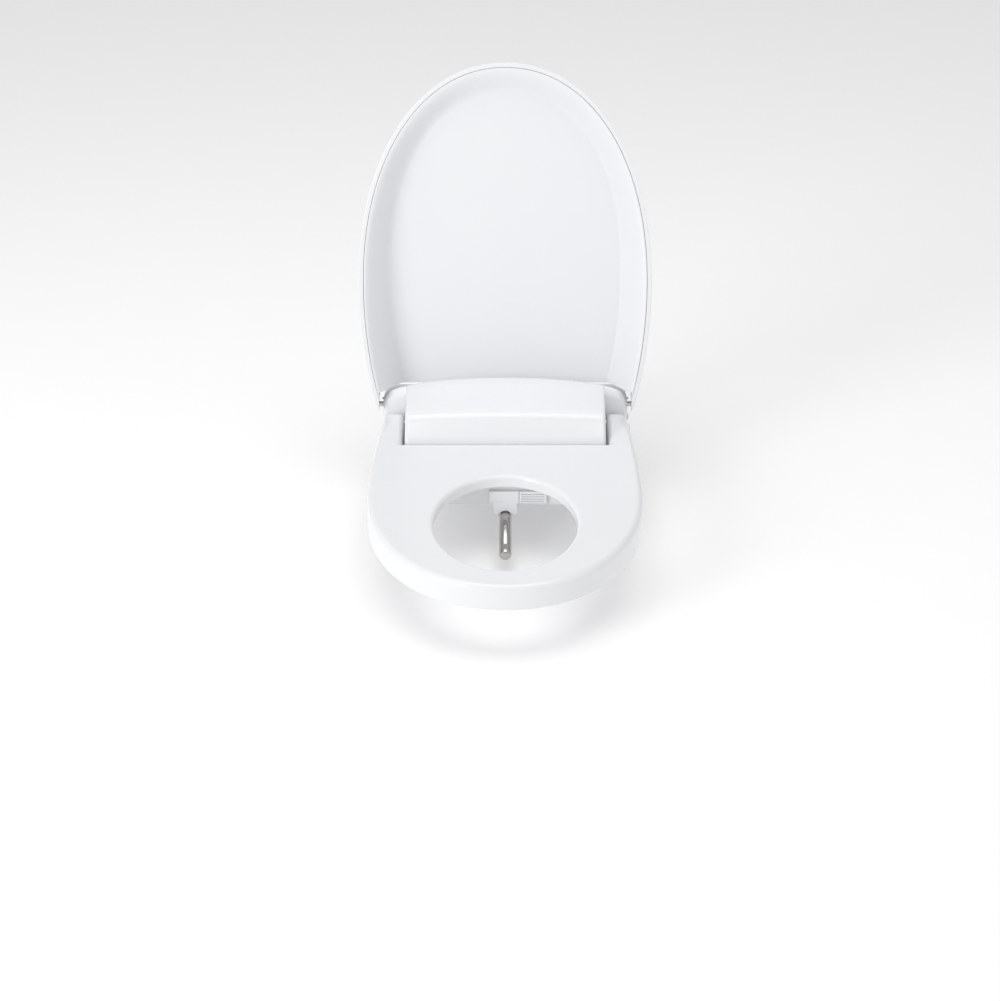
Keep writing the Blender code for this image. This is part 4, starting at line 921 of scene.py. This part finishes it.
def rolled_plate(name, outline, radius):
    """Outline in x and z carried from the front face to the back, edges rounded by a quarter circle."""
    turn = np.linspace(0, np.pi / 2, 5)
    pull = radius * (1 - np.sin(turn))
    ahead = radius * (1 - np.cos(turn))
    steps = [(p, GATE_FRONT + a) for p, a in zip(pull, ahead)]
    steps += [(p, GATE_BACK - a) for p, a in zip(pull[::-1], ahead[::-1])]
    loops = []
    for inward, y in steps:
        flat = moved_in(outline, inward)
        loops.append(np.column_stack([flat[:, 0], np.full(len(flat), y), flat[:, 1]]))
    return closed_loft(name, loops)


angle = np.linspace(math.acos(8.2 / ARCH_HALF), math.pi - math.acos(8.2 / ARCH_HALF), 21)
arch = np.column_stack([ARCH_HALF * np.cos(angle), ARCH_Z + ARCH_RISE * np.sin(angle)])[::-1]
tab_low = np.concatenate([[(-15.6, -12)], arch, [(15.2, -12)]])
bar = [(15.2, 4), (17.6, 4), (17.6, 21), (-20.8, 21), (-20.8, 4), (-15.6, 4)]
gate_outline = np.concatenate([tab_low, bar]) * MM
gate = rolled_plate("exit_gate", gate_outline, 0.5 * MM)
trim(gate, block((-19 * MM, GATE_FRONT - MM, 6 * MM), (-2.5 * MM, GATE_FRONT + 0.6 * MM, 19 * MM)))
flap_outline = np.array([(18.2, 4), (53.6, 4), (53.6, 21), (18.2, 21)]) * MM
flap = rolled_plate("air_flap", flap_outline, 0.5 * MM)
for z in (6.2, 9.6, 13.0, 16.4):
    groove_low = (21 * MM, GATE_FRONT - MM, z * MM)
    groove_high = (50.6 * MM, GATE_FRONT + 1.6 * MM, (z + 1.2) * MM)
    trim(flap, block(groove_low, groove_high))
for piece, node, body in ((gate, "nozzle_gate", "gate"), (flap, "dryer_flap", "dryer_flap")):
    creased(piece, 40)
    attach(piece, body)
    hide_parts(node)
    wear(piece, GLOSS_WHITE)
    print(piece.name, len(piece.data.polygons))

# %% [markdown]
# ## Everything else keeps its shape
# The remaining parts already have the right shape. Each gets the finish of what it is made of:
# satin white casings, rubber feet, green boards, bright steel bolts and so on.

# %% Finishes for the remaining parts
BY_SLOT = {
    "gloss_white": GLOSS_WHITE,
    "satin_white": SATIN_WHITE,
    "grey_plastic": GREY_PLASTIC,
    "dark_plastic": DARK_PLASTIC,
    "rubber": RUBBER,
    "steel": STEEL,
    "polished_metal": POLISHED,
    "circuit_board": BOARD,
    "heating_foil": FOIL,
}
BY_NAME = {"deck_washer": BLACK_RUBBER, "deck_nut": CREAM_PLASTIC}


def finish_of(node, obj):
    """Finish by the part's own name, else by the slot that its material is named for."""
    for start, material in BY_NAME.items():
        if node.startswith(start):
            return material
    names = [slot.material.name for slot in obj.material_slots if slot.material]
    for name in names:
        for slot, material in BY_SLOT.items():
            if slot in name:
                return material
    return SATIN_WHITE


used = {}
for node, obj in nodes.items():
    material = finish_of(node, obj)
    for holder in obj.material_slots:
        holder.material = material
    used.setdefault(material.name, []).append(node)
for name, members in sorted(used.items()):
    print(name, len(members))

# %% [markdown]
# ## Studio
# A plain floor a little under the bolts, a wide key light from the left and a weaker one from
# the right, with a bright even surround. White plastic needs large soft lights: their
# reflections give the edges their shine.

# %% Studio
FLOOR_Z = cad_box[0][2] - 0.5 * MM


def flat_sheet(name, half, z):
    corners = np.array([(-half, -half, z), (half, -half, z), (half, half, z), (-half, half, z)])
    return piece_from(name, corners, [(0, 1, 2, 3)])


floor = flat_sheet("floor", 30.0, FLOOR_Z)
FLOOR_PALE, FLOOR_PALER = (0.93, 0.93, 0.935), (0.95, 0.95, 0.95)
wear(floor, finish("floor", FLOOR_PALE, FLOOR_PALER, (0.7, 0.8), grain=60.0, relief=1e-4))
floor_shader = floor.data.materials[0].node_tree.nodes["Principled BSDF"]
floor_shader.inputs["Emission Color"].default_value = (1, 1, 1, 1)
floor_shader.inputs["Emission Strength"].default_value = 0.12


def area_light(name, place, aim, size, power):
    data = bpy.data.lights.new(name, "AREA")
    data.shape = "RECTANGLE"
    data.size, data.size_y = size
    data.energy = power
    lamp = bpy.data.objects.new(name, data)
    bpy.context.collection.objects.link(lamp)
    lamp.location = place
    lamp.rotation_euler = (Vector(aim) - Vector(place)).to_track_quat("-Z", "Y").to_euler()
    return lamp


area_light("key", (-2.4, -2.2, 1.3), (0, -0.1, 0.15), (1.3, 1.6), 38)
area_light("fill", (2.4, -1.6, 1.2), (0, -0.1, 0.15), (1.4, 1.4), 3)
area_light("top", (0, -0.4, 2.8), (0, -0.1, 0), (2.4, 1.8), 24)

world = bpy.data.worlds.new("studio")
bpy.context.scene.world = world
world.use_nodes = True
world.node_tree.nodes["Background"].inputs["Color"].default_value = (1, 1, 1, 1)
world.node_tree.nodes["Background"].inputs["Strength"].default_value = 0.58
bpy.context.scene.view_settings.view_transform = "Standard"
print("floor at", round(FLOOR_Z / MM, 1), "mm")

# %% [markdown]
# ## Size
# The finer surfaces must stay inside the box of the frame.

# %% Update the view layer
bpy.context.view_layer.update()
